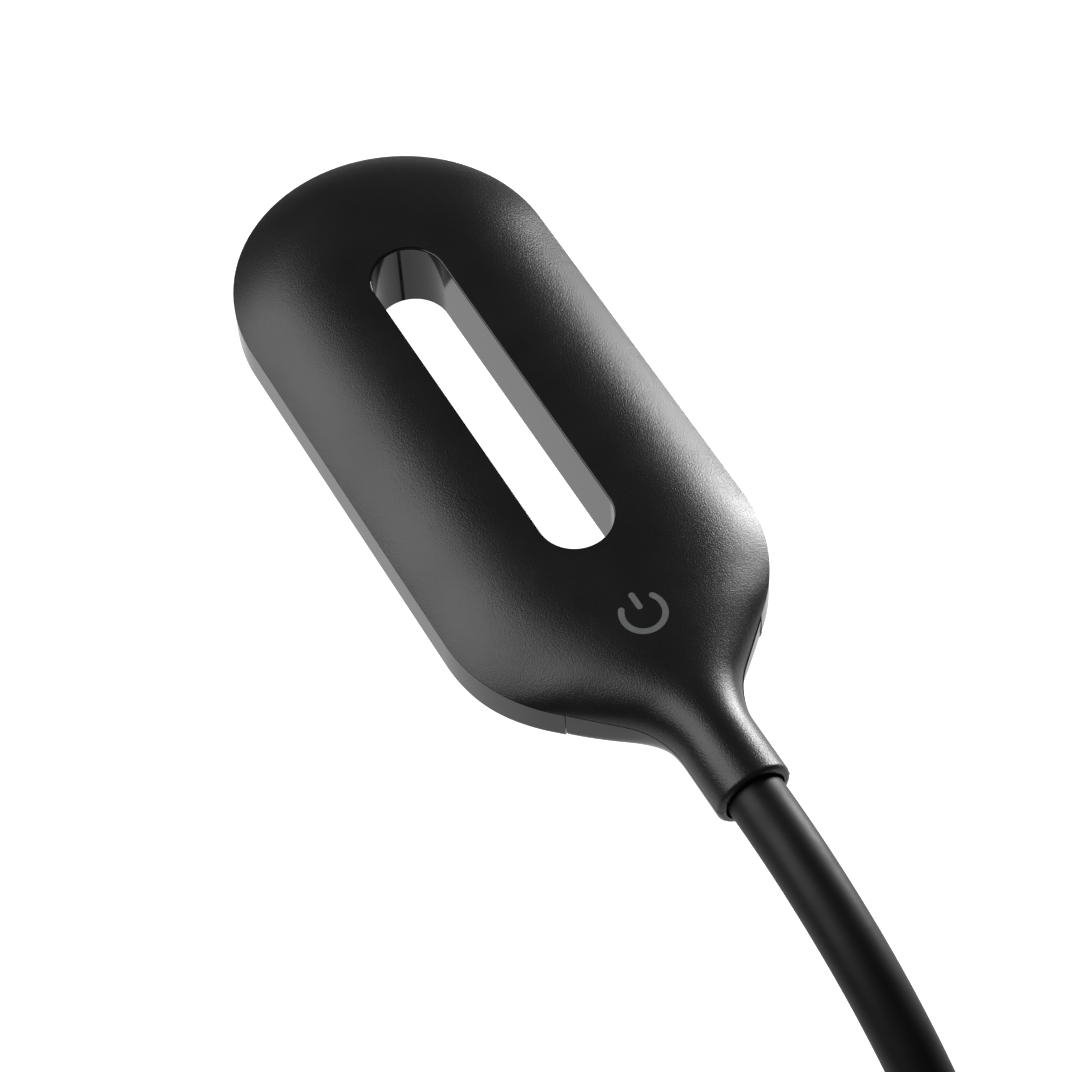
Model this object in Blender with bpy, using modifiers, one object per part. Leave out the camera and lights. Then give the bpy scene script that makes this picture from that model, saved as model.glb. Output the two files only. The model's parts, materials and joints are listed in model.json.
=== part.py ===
"""Clip-on reading lamp: a slotted ring head on a gooseneck that rises from a sprung clip.

Run with: blender --background --python part.py

Frame: metres, +Z up. The origin is the centre of the fixed jaw's pad, on the face that rests on the board
the lamp is clipped to. The jaws open towards -X, the gooseneck rises from the clip and arches back over -X,
and the head hangs level at its end. The whole lamp is symmetric about the plane y = 0.
"""

import math

import bmesh
import bpy
from mathutils import Matrix, Vector

MM = 0.001
GAP = 0.3 * MM                      # clearance kept between pieces that touch

# ---- head -----------------------------------------------------------------------------------------------
HEAD_HALF_WIDTH = 30.0 * MM
HEAD_WALL = 1.35 * MM
SLOT_HALF_WIDTH = 6.95 * MM         # clear half width of the slot through the ring
SLOT_LENGTH = 60.0 * MM             # between the centres of the slot's two round ends
SLOT_STEP = 0.2 * MM                # the upper shell stands back from the slot wall by this
SLOT_WALL = 1.2 * MM
FAR_WEB_EXTRA = 5.6 * MM            # the ring is this much wider beyond the far end of the slot
SHOULDER_START = 6.9 * MM           # where the straight side ends, past the slot's near centre
SHOULDER_RADIUS = 30.0 * MM
SHOULDER_TURN = math.radians(46.2)
NECK_FILLET_RADIUS = 15.5 * MM
COLLAR_LENGTH = 11.3 * MM           # round part of the neck, past the fillet
COLLAR_EDGE = 1.0 * MM              # rounding of the collar's outer edge
COLLAR_GAP = 0.5 * MM               # ring gap between the sleeve and the collar
DOME_RISE = 7.75 * MM               # upper shell above the parting plane, at the slot
DOME_POWER = 2.5                    # how late the dome turns down towards its edge
RING_DEPTH = 7.75 * MM              # lower ring below the parting plane
CREST_BLEND = 25.0 * MM             # length over which the flat crest beside the slot runs out
NECK_BLEND_START = 20.0 * MM        # where the dome starts to turn into the round neck
COVER_FRONT = 30.0 * MM             # front edge of the lower neck cover
COVER_SQUARENESS = 7.0              # how boxy the neck cover is where it meets the ring
WEB_TOP = -1.7 * MM                 # floor of the ring that carries the boards
WEB_THICKNESS = 1.5 * MM
BOARD_THICKNESS = 1.0 * MM
LED_SIZE = (2.8 * MM, 2.8 * MM, 0.8 * MM)
LED_COUNT = 24
HEAD_SCREW_STEPS = (2, 9)           # LED pitches from the far tip to the far and the near screws
DIFFUSER_THICKNESS = 1.2 * MM
DIFFUSER_RECESS = 0.3 * MM
TOUCH_X = 23.2 * MM                 # centre of the touch key, past the slot's near centre
TOUCH_BOARD = (16.0 * MM, 14.0 * MM)
TOUCH_SPRING_RADIUS = 3.0 * MM
TOUCH_SPRING_TURNS = 4
TOUCH_SPRING_WIRE = 0.35 * MM
HEAD_BOSS_RADIUS = 2.6 * MM
HEAD_LEAD_RADIUS = 0.8 * MM

# ---- screws ---------------------------------------------------------------------------------------------
SCREW_SHANK = 1.0 * MM
SCREW_HEAD = 1.9 * MM
SCREW_HEAD_HEIGHT = 1.0 * MM
SCREW_LENGTH = 7.0 * MM

# ---- gooseneck ------------------------------------------------------------------------------------------
GOOSENECK_RADIUS = 5.2 * MM
GOOSENECK_LENGTH = 300.0 * MM       # visible sleeve, from collar to collar
SLEEVE_WALL = 1.1 * MM
CORE_BORE = 1.5 * MM                # passage for the lamp's wires
LINK_BEND_LIMIT = math.radians(30.0)
REST_BENDS = tuple(math.radians(a) for a in (0, 0, 0, 0, 0, 8.0, 20.2, 25.0, 22.1, 11.7))
SLEEVE_GRIP = 5.0 * MM              # sleeve held inside each collar
CORE_GRIP = 14.0 * MM               # core held inside each collar
FERRULE_WALL = 0.7 * MM
FERRULE_LENGTH = 8.0 * MM

# ---- clip -----------------------------------------------------------------------------------------------
CLIP_HALF_WIDTH = 18.0 * MM
CLIP_NOSE = -20.0 * MM
CLIP_TAIL = 78.0 * MM
CLIP_TAIL_CORNER = 10.0 * MM
CLIP_TOP = 25.0 * MM
CLIP_SPLIT = 12.0 * MM
CLIP_WALL = 2.0 * MM
CLIP_EDGE = 5.0 * MM                # rounding of the top cover's upper edge
CLIP_LOWER_EDGE = 1.2 * MM
PAD_LENGTH = 28.0 * MM
PAD_WIDTH = 24.0 * MM
PAD_THICKNESS = 2.3 * MM
PAD_GROOVE_WIDTH = 1.2 * MM
PAD_GROOVE_DEPTH = 0.7 * MM
PAD_LAND = 2.8 * MM
JAW_THICKNESS = 5.0 * MM
PARALLEL_GRIP = 8.0 * MM            # thickness of board on which the two pads are parallel
PIN_X = 40.0 * MM
PIN_Z = -3.0 * MM
PIN_RADIUS = 1.5 * MM
PIN_HEAD = 2.6 * MM
EAR_RADIUS = 4.5 * MM
EAR_INNER = 9.0 * MM                # inner face of each fixed ear
EAR_THICKNESS = 3.0 * MM
KNUCKLE_WIDTH = 3.0 * MM
LEVER_ANGLE = math.radians(22.0)    # fall of the lever while the pads are parallel
LEVER_LENGTH = 41.0 * MM
LEVER_THICKNESS = 3.5 * MM
LEVER_TOP = -2.2 * MM               # the lever's upper face, below a line through the hinge
LEVER_HALF_WIDTH = 14.0 * MM
LEVER_CORNER = 8.0 * MM
SPRING_RADIUS = 3.1 * MM
SPRING_WIRE = 0.6 * MM
SPRING_TURNS = 5
SPRING_PITCH_GAP = 0.35 * MM
SPRING_LEG = 16.0 * MM
STEM_X = 46.0 * MM
STEM_BOSS_HEIGHT = 9.0 * MM
STEM_FLANGE = 9.0 * MM
STEM_FLANGE_THICKNESS = 2.0 * MM
STEM_SCREW_SPACING = 13.6 * MM
BATTERY = (42.0 * MM, 22.0 * MM, 8.5 * MM)
CHARGE_BOARD = (19.0 * MM, 16.0 * MM)
USB_SOCKET = (7.3 * MM, 8.9 * MM, 3.2 * MM)
USB_WALL = 0.35 * MM
USB_TONGUE = 6.4 * MM
LIGHT_PIPE_RADIUS = 1.0 * MM
LIGHT_PIPE_OFFSET = 10.5 * MM
CLIP_BOSS_RADIUS = 2.6 * MM
BATTERY_LEAD_RADIUS = 0.9 * MM

# ---- sizes that follow from the ones above ----------------------------------------------------------------
NECK_RADIUS = GOOSENECK_RADIUS + COLLAR_GAP + HEAD_WALL
COLLAR_BORE = GOOSENECK_RADIUS + COLLAR_GAP
SHELL_SLOT = SLOT_HALF_WIDTH + SLOT_STEP
SLOT_WALL_OUTER = SLOT_HALF_WIDTH + SLOT_WALL
CORE_RADIUS = GOOSENECK_RADIUS - SLEEVE_WALL - GAP
LINK_COUNT = len(REST_BENDS)
LINK_LENGTH = GOOSENECK_LENGTH / LINK_COUNT
HEAD_DROOP = math.pi / 2 - sum(REST_BENDS)
STEM_TOP = CLIP_TOP + STEM_BOSS_HEIGHT
UNDERSIDE = PAD_THICKNESS + GAP
JAW_TOP = -(PARALLEL_GRIP + PAD_THICKNESS + GAP)

NOSE_REACH = PIN_X + PAD_LENGTH / 2
NOSE_DROP = PARALLEL_GRIP + PIN_Z
JAW_CLOSE = math.atan2(NOSE_DROP, NOSE_REACH) - math.asin((GAP + PIN_Z) / math.hypot(NOSE_REACH, NOSE_DROP))

COLOURS = {
    "matt_black": ((0.012, 0.012, 0.013), 0.42, 0.0),
    "gloss_black": ((0.010, 0.010, 0.011), 0.12, 0.0),
    "silicone": ((0.010, 0.010, 0.010), 0.50, 0.0),
    "rubber": ((0.025, 0.025, 0.026), 0.80, 0.0),
    "opal": ((0.85, 0.85, 0.82), 0.45, 0.0),
    "steel": ((0.55, 0.55, 0.56), 0.30, 1.0),
    "brass": ((0.72, 0.55, 0.28), 0.30, 1.0),
    "board_white": ((0.75, 0.75, 0.72), 0.50, 0.0),
    "board_green": ((0.03, 0.16, 0.07), 0.45, 0.0),
    "cell_wrap": ((0.45, 0.46, 0.48), 0.35, 0.6),
    "wire_red": ((0.45, 0.02, 0.02), 0.45, 0.0),
    "clear": ((0.80, 0.82, 0.85), 0.08, 0.0),
}

parts = None
cutters = None


# ---- helpers ----------------------------------------------------------------------------------------------
def clear_scene():
    for item in list(bpy.data.objects):
        bpy.data.objects.remove(item)


def make_collections():
    global parts, cutters
    parts = bpy.data.collections.new("clip_on_reading_lamp")
    cutters = bpy.data.collections.new("cutters")
    for group in (parts, cutters):
        bpy.context.scene.collection.children.link(group)


def finish(name):
    """The material of that name, made on first use."""
    found = bpy.data.materials.get(name)
    if found:
        return found
    colour, roughness, metallic = COLOURS[name]
    made = bpy.data.materials.new(name)
    made.use_nodes = True
    shader = made.node_tree.nodes["Principled BSDF"]
    shader.inputs["Base Color"].default_value = (*colour, 1.0)
    shader.inputs["Roughness"].default_value = roughness
    shader.inputs["Metallic"].default_value = metallic
    return made


def to_mesh(name, bm):
    mesh = bpy.data.meshes.new(name)
    bm.to_mesh(mesh)
    bm.free()
    return mesh


def part(name, mesh, look, smooth=True):
    """A named piece of the lamp."""
    made = bpy.data.objects.new(name, mesh)
    parts.objects.link(made)
    if not mesh.materials:
        mesh.materials.append(finish(look))
    if smooth:
        mesh.shade_smooth()
        mesh.set_sharp_from_angle(angle=math.radians(35))
    return made


def tool(name, mesh):
    """A solid that only cuts or joins another one."""
    made = bpy.data.objects.new(name, mesh)
    cutters.objects.link(made)
    made.hide_render = True
    made.display_type = "WIRE"
    return made


def combine(target, other, operation):
    step = target.modifiers.new(other.name, "BOOLEAN")
    step.operation = operation
    step.solver = "EXACT"
    step.object = other


def cut(target, name, mesh):
    combine(target, tool(name, mesh), "DIFFERENCE")


def join(target, name, mesh):
    combine(target, tool(name, mesh), "UNION")


def cuboid(low, high, edge=0.0):
    """A box between two corners, its edges rounded by edge."""
    low, high = Vector(low), Vector(high)
    bm = bmesh.new()
    bmesh.ops.create_cube(bm, size=1.0)
    bmesh.ops.scale(bm, vec=high - low, verts=bm.verts)
    bmesh.ops.translate(bm, vec=(low + high) / 2, verts=bm.verts)
    if edge:
        bmesh.ops.bevel(bm, geom=bm.edges, offset=edge, segments=2, profile=0.5, affect="EDGES")
    return to_mesh("box", bm)


def boxes(spans):
    """Several separate boxes in one mesh, for cutting a pattern in one go."""
    bm = bmesh.new()
    for low, high in spans:
        made = bmesh.ops.create_cube(bm, size=1.0)["verts"]
        bmesh.ops.scale(bm, vec=Vector(high) - Vector(low), verts=made)
        bmesh.ops.translate(bm, vec=(Vector(low) + Vector(high)) / 2, verts=made)
    return to_mesh("boxes", bm)


def rod(start, end, radius, sides=24):
    """A round bar between two points."""
    start, end = Vector(start), Vector(end)
    bm = bmesh.new()
    bmesh.ops.create_cone(
        bm, cap_ends=True, segments=sides, radius1=radius, radius2=radius, depth=(end - start).length
    )
    turn = (end - start).to_track_quat("Z", "Y").to_matrix().to_4x4()
    bmesh.ops.transform(bm, matrix=Matrix.Translation((start + end) / 2) @ turn, verts=bm.verts)
    return to_mesh("rod", bm)


def turned(name, profile, look, closed=False, steps=20):
    """A piece turned about its own Z axis. The profile, of (radius, height), runs down its outer side."""
    mesh = bpy.data.meshes.new(name)
    count = len(profile)
    links = [(i, i + 1) for i in range(count - 1)] + ([(count - 1, 0)] if closed else [])
    mesh.from_pydata([(r, 0.0, z) for r, z in profile], links, [])
    made = part(name, mesh, look, smooth=False)
    screw = made.modifiers.new("turn", "SCREW")
    screw.steps = steps
    screw.render_steps = steps
    screw.use_merge_vertices = True
    screw.merge_threshold = 0.00001
    screw.use_smooth_shade = True
    return made


def plate(loops, low, high):
    """A flat slab between two heights whose outline is the first loop, with the other loops as holes."""
    curve = bpy.data.curves.new("outline", "CURVE")
    curve.dimensions = "2D"
    curve.fill_mode = "BOTH"
    curve.extrude = (high - low) / 2
    for loop in loops:
        spline = curve.splines.new("POLY")
        spline.points.add(len(loop) - 1)
        for point, (x, y) in zip(spline.points, loop):
            point.co = (x, y, 0.0, 1.0)
        spline.use_cyclic_u = True
    return mesh_of_curve(curve, Matrix.Translation((0, 0, (low + high) / 2)))


def mesh_of_curve(curve, matrix):
    """The closed mesh of a curve object, with its caps welded."""
    holder = bpy.data.objects.new("curve", curve)
    bpy.context.scene.collection.objects.link(holder)
    holder.matrix_world = matrix
    bpy.context.view_layer.update()
    graph = bpy.context.evaluated_depsgraph_get()
    mesh = bpy.data.meshes.new_from_object(holder.evaluated_get(graph))
    mesh.transform(holder.matrix_world)
    bpy.data.objects.remove(holder)
    bm = bmesh.new()
    bm.from_mesh(mesh)
    bmesh.ops.remove_doubles(bm, verts=bm.verts, dist=0.000001)
    bmesh.ops.recalc_face_normals(bm, faces=bm.faces)
    bm.to_mesh(mesh)
    bm.free()
    mesh.materials.clear()
    return mesh


def wire(points, radius, resolution=2):
    """A round wire along the points."""
    curve = bpy.data.curves.new("wire", "CURVE")
    curve.dimensions = "3D"
    curve.bevel_depth = radius
    curve.bevel_resolution = resolution
    curve.use_fill_caps = True
    spline = curve.splines.new("POLY")
    spline.points.add(len(points) - 1)
    for point, place in zip(spline.points, points):
        point.co = (*place, 1.0)
    return mesh_of_curve(curve, Matrix.Identity(4))


def smooth_path(corners, count):
    """Points along a smooth curve that starts and ends at the corner list's ends and rounds its corners."""
    corners = [Vector(c) for c in corners]
    middles = [(a + b) / 2 for a, b in zip(corners[1:-1], corners[2:-1])]
    ends = [corners[0], *middles, corners[-1]]
    points = [ends[0]]
    for start, knee, end in zip(ends, corners[1:-1], ends[1:]):
        for i in range(1, count + 1):
            t = i / count
            points.append(start * (1 - t) ** 2 + knee * 2 * t * (1 - t) + end * t**2)
    return points


def ease(t):
    """Rises smoothly from 0 to 1."""
    t = min(max(t, 0.0), 1.0)
    return t * t * (3 - 2 * t)


def mirrored(points):
    """A closed loop from the half outline at y >= 0, which starts and ends on y = 0 or is closed across it."""
    back = [(x, -y) for x, y in reversed(points) if y > 0.01 * MM]
    return points + back


def stadium(half_width, length, steps=8):
    """The slot's outline at some half width, with its near centre at x = 0."""
    half = []
    for centre, start in ((-length, math.pi), (0.0, math.pi / 2)):
        for i in range(steps + 1):
            a = start - i * math.pi / 2 / steps
            half.append((centre + half_width * math.cos(a), half_width * math.sin(a)))
    return mirrored(half)


# ---- outline and surfaces of the head ------------------------------------------------------------------------
def shoulder_end():
    """x where the shoulder arc ends, and its y there."""
    x = SHOULDER_START + SHOULDER_RADIUS * math.sin(SHOULDER_TURN)
    y = HEAD_HALF_WIDTH - SHOULDER_RADIUS * (1 - math.cos(SHOULDER_TURN))
    return x, y


def fillet_ends():
    """x where the slanting flank ends and the neck fillet starts, and x where the fillet ends."""
    x, y = shoulder_end()
    fall = y - NECK_RADIUS - NECK_FILLET_RADIUS * (1 - math.cos(SHOULDER_TURN))
    start = x + fall / math.tan(SHOULDER_TURN)
    return start, start + NECK_FILLET_RADIUS * math.sin(SHOULDER_TURN)


FLANK_END, NECK_START = fillet_ends()
COLLAR_END = NECK_START + COLLAR_LENGTH


def outline(x):
    """Half width of the head at x, and how far its outline has turned from the axis there."""
    flank_start, y = shoulder_end()
    if x <= SHOULDER_START:
        return HEAD_HALF_WIDTH, 0.0
    if x <= flank_start:
        turn = math.asin((x - SHOULDER_START) / SHOULDER_RADIUS)
        return HEAD_HALF_WIDTH - SHOULDER_RADIUS * (1 - math.cos(turn)), turn
    if x <= FLANK_END:
        return y - (x - flank_start) * math.tan(SHOULDER_TURN), SHOULDER_TURN
    if x <= NECK_START:
        turn = math.asin((NECK_START - x) / NECK_FILLET_RADIUS)
        return NECK_RADIUS + NECK_FILLET_RADIUS * (1 - math.cos(turn)), turn
    past = x - (COLLAR_END - COLLAR_EDGE)
    if past <= 0:
        return NECK_RADIUS, 0.0
    return NECK_RADIUS - COLLAR_EDGE + math.sqrt(max(COLLAR_EDGE**2 - past**2, 0.0)), 0.0


def edge_point(x, inset):
    """A point on the outline moved inwards by inset, square to the outline."""
    width, turn = outline(x)
    if x > NECK_START:
        return x, (NECK_RADIUS if inset else width) - inset
    return x - inset * math.sin(turn), width - inset * math.cos(turn)


def far_edge(angle, inset):
    """Where a ray from the slot's far centre meets the outline, moved inwards by inset."""
    radius = HEAD_HALF_WIDTH - inset
    along, across = math.cos(angle), math.sin(angle)
    reach = FAR_WEB_EXTRA * -along + math.sqrt(radius**2 - (FAR_WEB_EXTRA * across) ** 2)
    if reach * along > -FAR_WEB_EXTRA:
        reach = radius / across
    return -SLOT_LENGTH + reach * along, reach * across


def half_outline(inset, end):
    """The head's outline at y >= 0, moved inwards by inset, from its far tip to x = end on the slanting flank."""
    radius = HEAD_HALF_WIDTH - inset
    points = []
    for i in range(11):
        a = math.pi - i * math.pi / 20
        points.append((-SLOT_LENGTH - FAR_WEB_EXTRA + radius * math.cos(a), radius * math.sin(a)))
    radius = SHOULDER_RADIUS - inset
    middle = HEAD_HALF_WIDTH - SHOULDER_RADIUS
    for i in range(9):
        turn = SHOULDER_TURN * i / 8
        points.append((SHOULDER_START + radius * math.sin(turn), middle + radius * math.cos(turn)))
    x, y = points[-1]
    reach = end - inset
    points.append((reach, y - (reach - x) * math.tan(SHOULDER_TURN)))
    points[0] = (points[0][0], 0.0)
    return points


def ring_loop(inset):
    """The lower ring's outline, cut straight across in front of the neck cover."""
    return mirrored(half_outline(inset, COVER_FRONT - GAP))


def body_stations(end):
    """Places along the head where its sections are taken, from the slot's far centre to end."""
    marks = [-SLOT_LENGTH * (1 - i / 5) for i in range(5)]
    marks += [SHELL_SLOT * math.sin(i * math.pi / 12) for i in range(7)]
    step_count = 14
    reach = NECK_START - SHELL_SLOT
    marks += [SHELL_SLOT + reach * i / step_count for i in range(1, step_count + 1)]
    marks += [NECK_START + (COLLAR_LENGTH - COLLAR_EDGE) * i / 2 for i in (1, 2)]
    marks += [COLLAR_END - COLLAR_EDGE * (1 - math.sin(i * math.pi / 6)) for i in (1, 2, 3)]
    return [x for x in marks if x <= end + 1e-9]


def neckness(x):
    """0 on the ring, 1 on the round neck."""
    return ease((x - NECK_BLEND_START) / (NECK_START - NECK_BLEND_START))


def dome_shape(x):
    """The upper shell's crest height and the two powers of its section at x."""
    k = neckness(x)
    crest = DOME_RISE + (NECK_RADIUS - DOME_RISE) * k
    return crest, DOME_POWER + (2.0 - DOME_POWER) * k, 1.0 + k


def keel_shape(x):
    """The neck cover's depth and the powers of its section at x: boxy at its front, round at the collar."""
    k = ease((x - COVER_FRONT) / (NECK_START - 5 * MM - COVER_FRONT))
    power = COVER_SQUARENESS + (2.0 - COVER_SQUARENESS) * k
    return RING_DEPTH + (NECK_RADIUS - RING_DEPTH) * k, power, power


def flat_half(x):
    """Half width of the flat crest beside and just past the slot."""
    return SHELL_SLOT * (1 - ease(x / CREST_BLEND))


def section_height(shape, share, x, inset):
    """Height of a section, share of the way from its crest to its edge."""
    crest, power, root = shape(x)
    if x > COLLAR_END - COLLAR_EDGE and not inset:
        crest = outline(x)[0]
    return (crest - inset) * max(1 - share**power, 0.0) ** (1 / root)


def rows_of(shape, inset, start, columns):
    """Rows of points over the half y >= 0: round the far end, then section by section along the body."""
    shares = [math.sin(math.pi / 2 * i / columns) for i in range(columns + 1)]
    rows = []
    if start < -SLOT_LENGTH:
        for i in range(9):
            angle = math.pi - i * math.pi / 18
            outer = far_edge(angle, inset)
            inner = (-SLOT_LENGTH + SHELL_SLOT * math.cos(angle), SHELL_SLOT * math.sin(angle))
            rows.append([
                (
                    inner[0] + (outer[0] - inner[0]) * s,
                    inner[1] + (outer[1] - inner[1]) * s,
                    section_height(shape, s, -SLOT_LENGTH, inset),
                )
                for s in shares
            ])
        rows[0] = [(x, 0.0, z) for x, y, z in rows[0]]
    stations = body_stations(COLLAR_END)
    if start >= -SLOT_LENGTH:
        stations = [start] + [x for x in stations if x > start + HEAD_WALL]
    for x in stations:
        out_x, out_y = edge_point(x, inset)
        if x == start:
            width, turn = outline(x)
            out_x, out_y = x, width - inset / math.cos(turn)
        in_y = math.sqrt(max(SHELL_SLOT**2 - max(x, 0.0) ** 2, 0.0))
        flat = flat_half(x)
        row = []
        for s in shares:
            y = in_y + (out_y - in_y) * s
            share = min(max((y - flat) / (out_y - flat), 0.0), 1.0)
            row.append((x + (out_x - x) * s, y, section_height(shape, share, x, inset)))
        if x >= SHELL_SLOT - 1e-9:
            row[0] = (row[0][0], 0.0, row[0][2])
        rows.append(row)
    return rows


def shell(name, shape, start, look, up=1.0, columns=8):
    """A moulded half shell: outer and inner rows joined at their rims, mirrored about y = 0."""
    outer = rows_of(shape, 0.0, start, columns)
    inner = rows_of(shape, HEAD_WALL, start, columns)
    bm = bmesh.new()
    outside = [[bm.verts.new((x, y, up * z)) for x, y, z in row] for row in outer]
    inside = [[bm.verts.new((x, y, up * z)) for x, y, z in row] for row in inner]
    rim = len(outside) - 1
    for i in range(rim):
        for j in range(columns):
            bm.faces.new((outside[i][j], outside[i][j + 1], outside[i + 1][j + 1], outside[i + 1][j]))
            bm.faces.new((inside[i][j], inside[i + 1][j], inside[i + 1][j + 1], inside[i][j + 1]))
        bm.faces.new((outside[i][-1], inside[i][-1], inside[i + 1][-1], outside[i + 1][-1]))
        if outer[i][0][1] > 0 or outer[i + 1][0][1] > 0:
            bm.faces.new((outside[i][0], outside[i + 1][0], inside[i + 1][0], inside[i][0]))
    ends = [rim] if start < -SLOT_LENGTH else [0, rim]
    for end in ends:
        for j in range(columns):
            corner = (outside[end][j], outside[end][j + 1], inside[end][j + 1], inside[end][j])
            bm.faces.new(corner if end else tuple(reversed(corner)))
    if up > 0:
        bmesh.ops.reverse_faces(bm, faces=bm.faces)
    bmesh.ops.transform(bm, matrix=head_matrix(), verts=bm.verts)
    made = part(name, to_mesh(name, bm), look)
    mirror = made.modifiers.new("other_half", "MIRROR")
    mirror.use_axis = (False, True, False)
    mirror.merge_threshold = 0.00001
    return made


def dome_height(x, y):
    """Height of the upper shell's outer face over a point beside the slot."""
    width, _ = outline(x)
    flat = flat_half(x)
    return section_height(dome_shape, min(max((abs(y) - flat) / (width - flat), 0.0), 1.0), x, 0.0)


# ---- the gooseneck's line ------------------------------------------------------------------------------------
def heading(lean):
    """Direction of a link that leans by an angle from upright towards -X."""
    return Vector((-math.sin(lean), 0.0, math.cos(lean)))


def gooseneck_line():
    """The joint centres from the clip to the head, each link's lean, and where the line ends at the head."""
    place = Vector((STEM_X, 0.0, STEM_TOP))
    lean = 0.0
    centres, leans = [], [0.0]
    place = place + heading(lean) * LINK_LENGTH / 2
    for i, bend in enumerate(REST_BENDS):
        centres.append(place)
        lean += bend
        leans.append(lean)
        place = place + heading(lean) * (LINK_LENGTH if i < LINK_COUNT - 1 else LINK_LENGTH / 2)
    return centres, leans, place


CENTRES, LEANS, HEAD_JOIN = gooseneck_line()


def head_matrix():
    """Places the head's own frame, with its origin at the slot's near centre, in the lamp's frame."""
    return Matrix.Translation(HEAD_JOIN - Vector((COLLAR_END, 0.0, 0.0)))


def in_head(mesh):
    mesh.transform(head_matrix())
    return mesh


# ---- head -----------------------------------------------------------------------------------------------------
def screw_at(name, place, up=1.0, length=SCREW_LENGTH):
    """A pan-head screw whose head's seat is at place and whose shank points up or down."""
    profile = [
        (0.0, length),
        (SCREW_SHANK, length),
        (SCREW_SHANK, 0.0),
        (SCREW_HEAD, 0.0),
        (SCREW_HEAD, -SCREW_HEAD_HEIGHT * 0.6),
        (SCREW_HEAD * 0.75, -SCREW_HEAD_HEIGHT),
        (0.0, -SCREW_HEAD_HEIGHT),
    ]
    made = turned(name, profile, "steel", steps=12)
    made.location = place
    if up < 0:
        made.rotation_euler = (math.pi, 0.0, 0.0)
    return made


RING_MIDDLE = (SLOT_WALL_OUTER + HEAD_HALF_WIDTH - HEAD_WALL) / 2
RING_PATH = 2 * SLOT_LENGTH + 2 * math.pi * RING_MIDDLE


def ring_place(run):
    """A point midway across the ring, a run along its middle line from the far tip."""
    run %= RING_PATH
    side = 1 if run <= RING_PATH / 2 else -1
    run = min(run, RING_PATH - run)
    quarter = math.pi * RING_MIDDLE / 2
    if run < quarter:
        a = math.pi - run / RING_MIDDLE
        return -SLOT_LENGTH + RING_MIDDLE * math.cos(a), side * RING_MIDDLE * math.sin(a)
    if run < quarter + SLOT_LENGTH:
        return run - quarter - SLOT_LENGTH, side * RING_MIDDLE
    a = math.pi / 2 - (run - quarter - SLOT_LENGTH) / RING_MIDDLE
    return RING_MIDDLE * math.cos(a), side * RING_MIDDLE * math.sin(a)


def head_screw_places():
    """Where the four screws stand, in the head's frame: midway between two LEDs, at each end of the slot."""
    pitch = RING_PATH / LED_COUNT
    far, near = HEAD_SCREW_STEPS
    return [ring_place(side * step * pitch) for step in (far, near) for side in (1, -1)]


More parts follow.
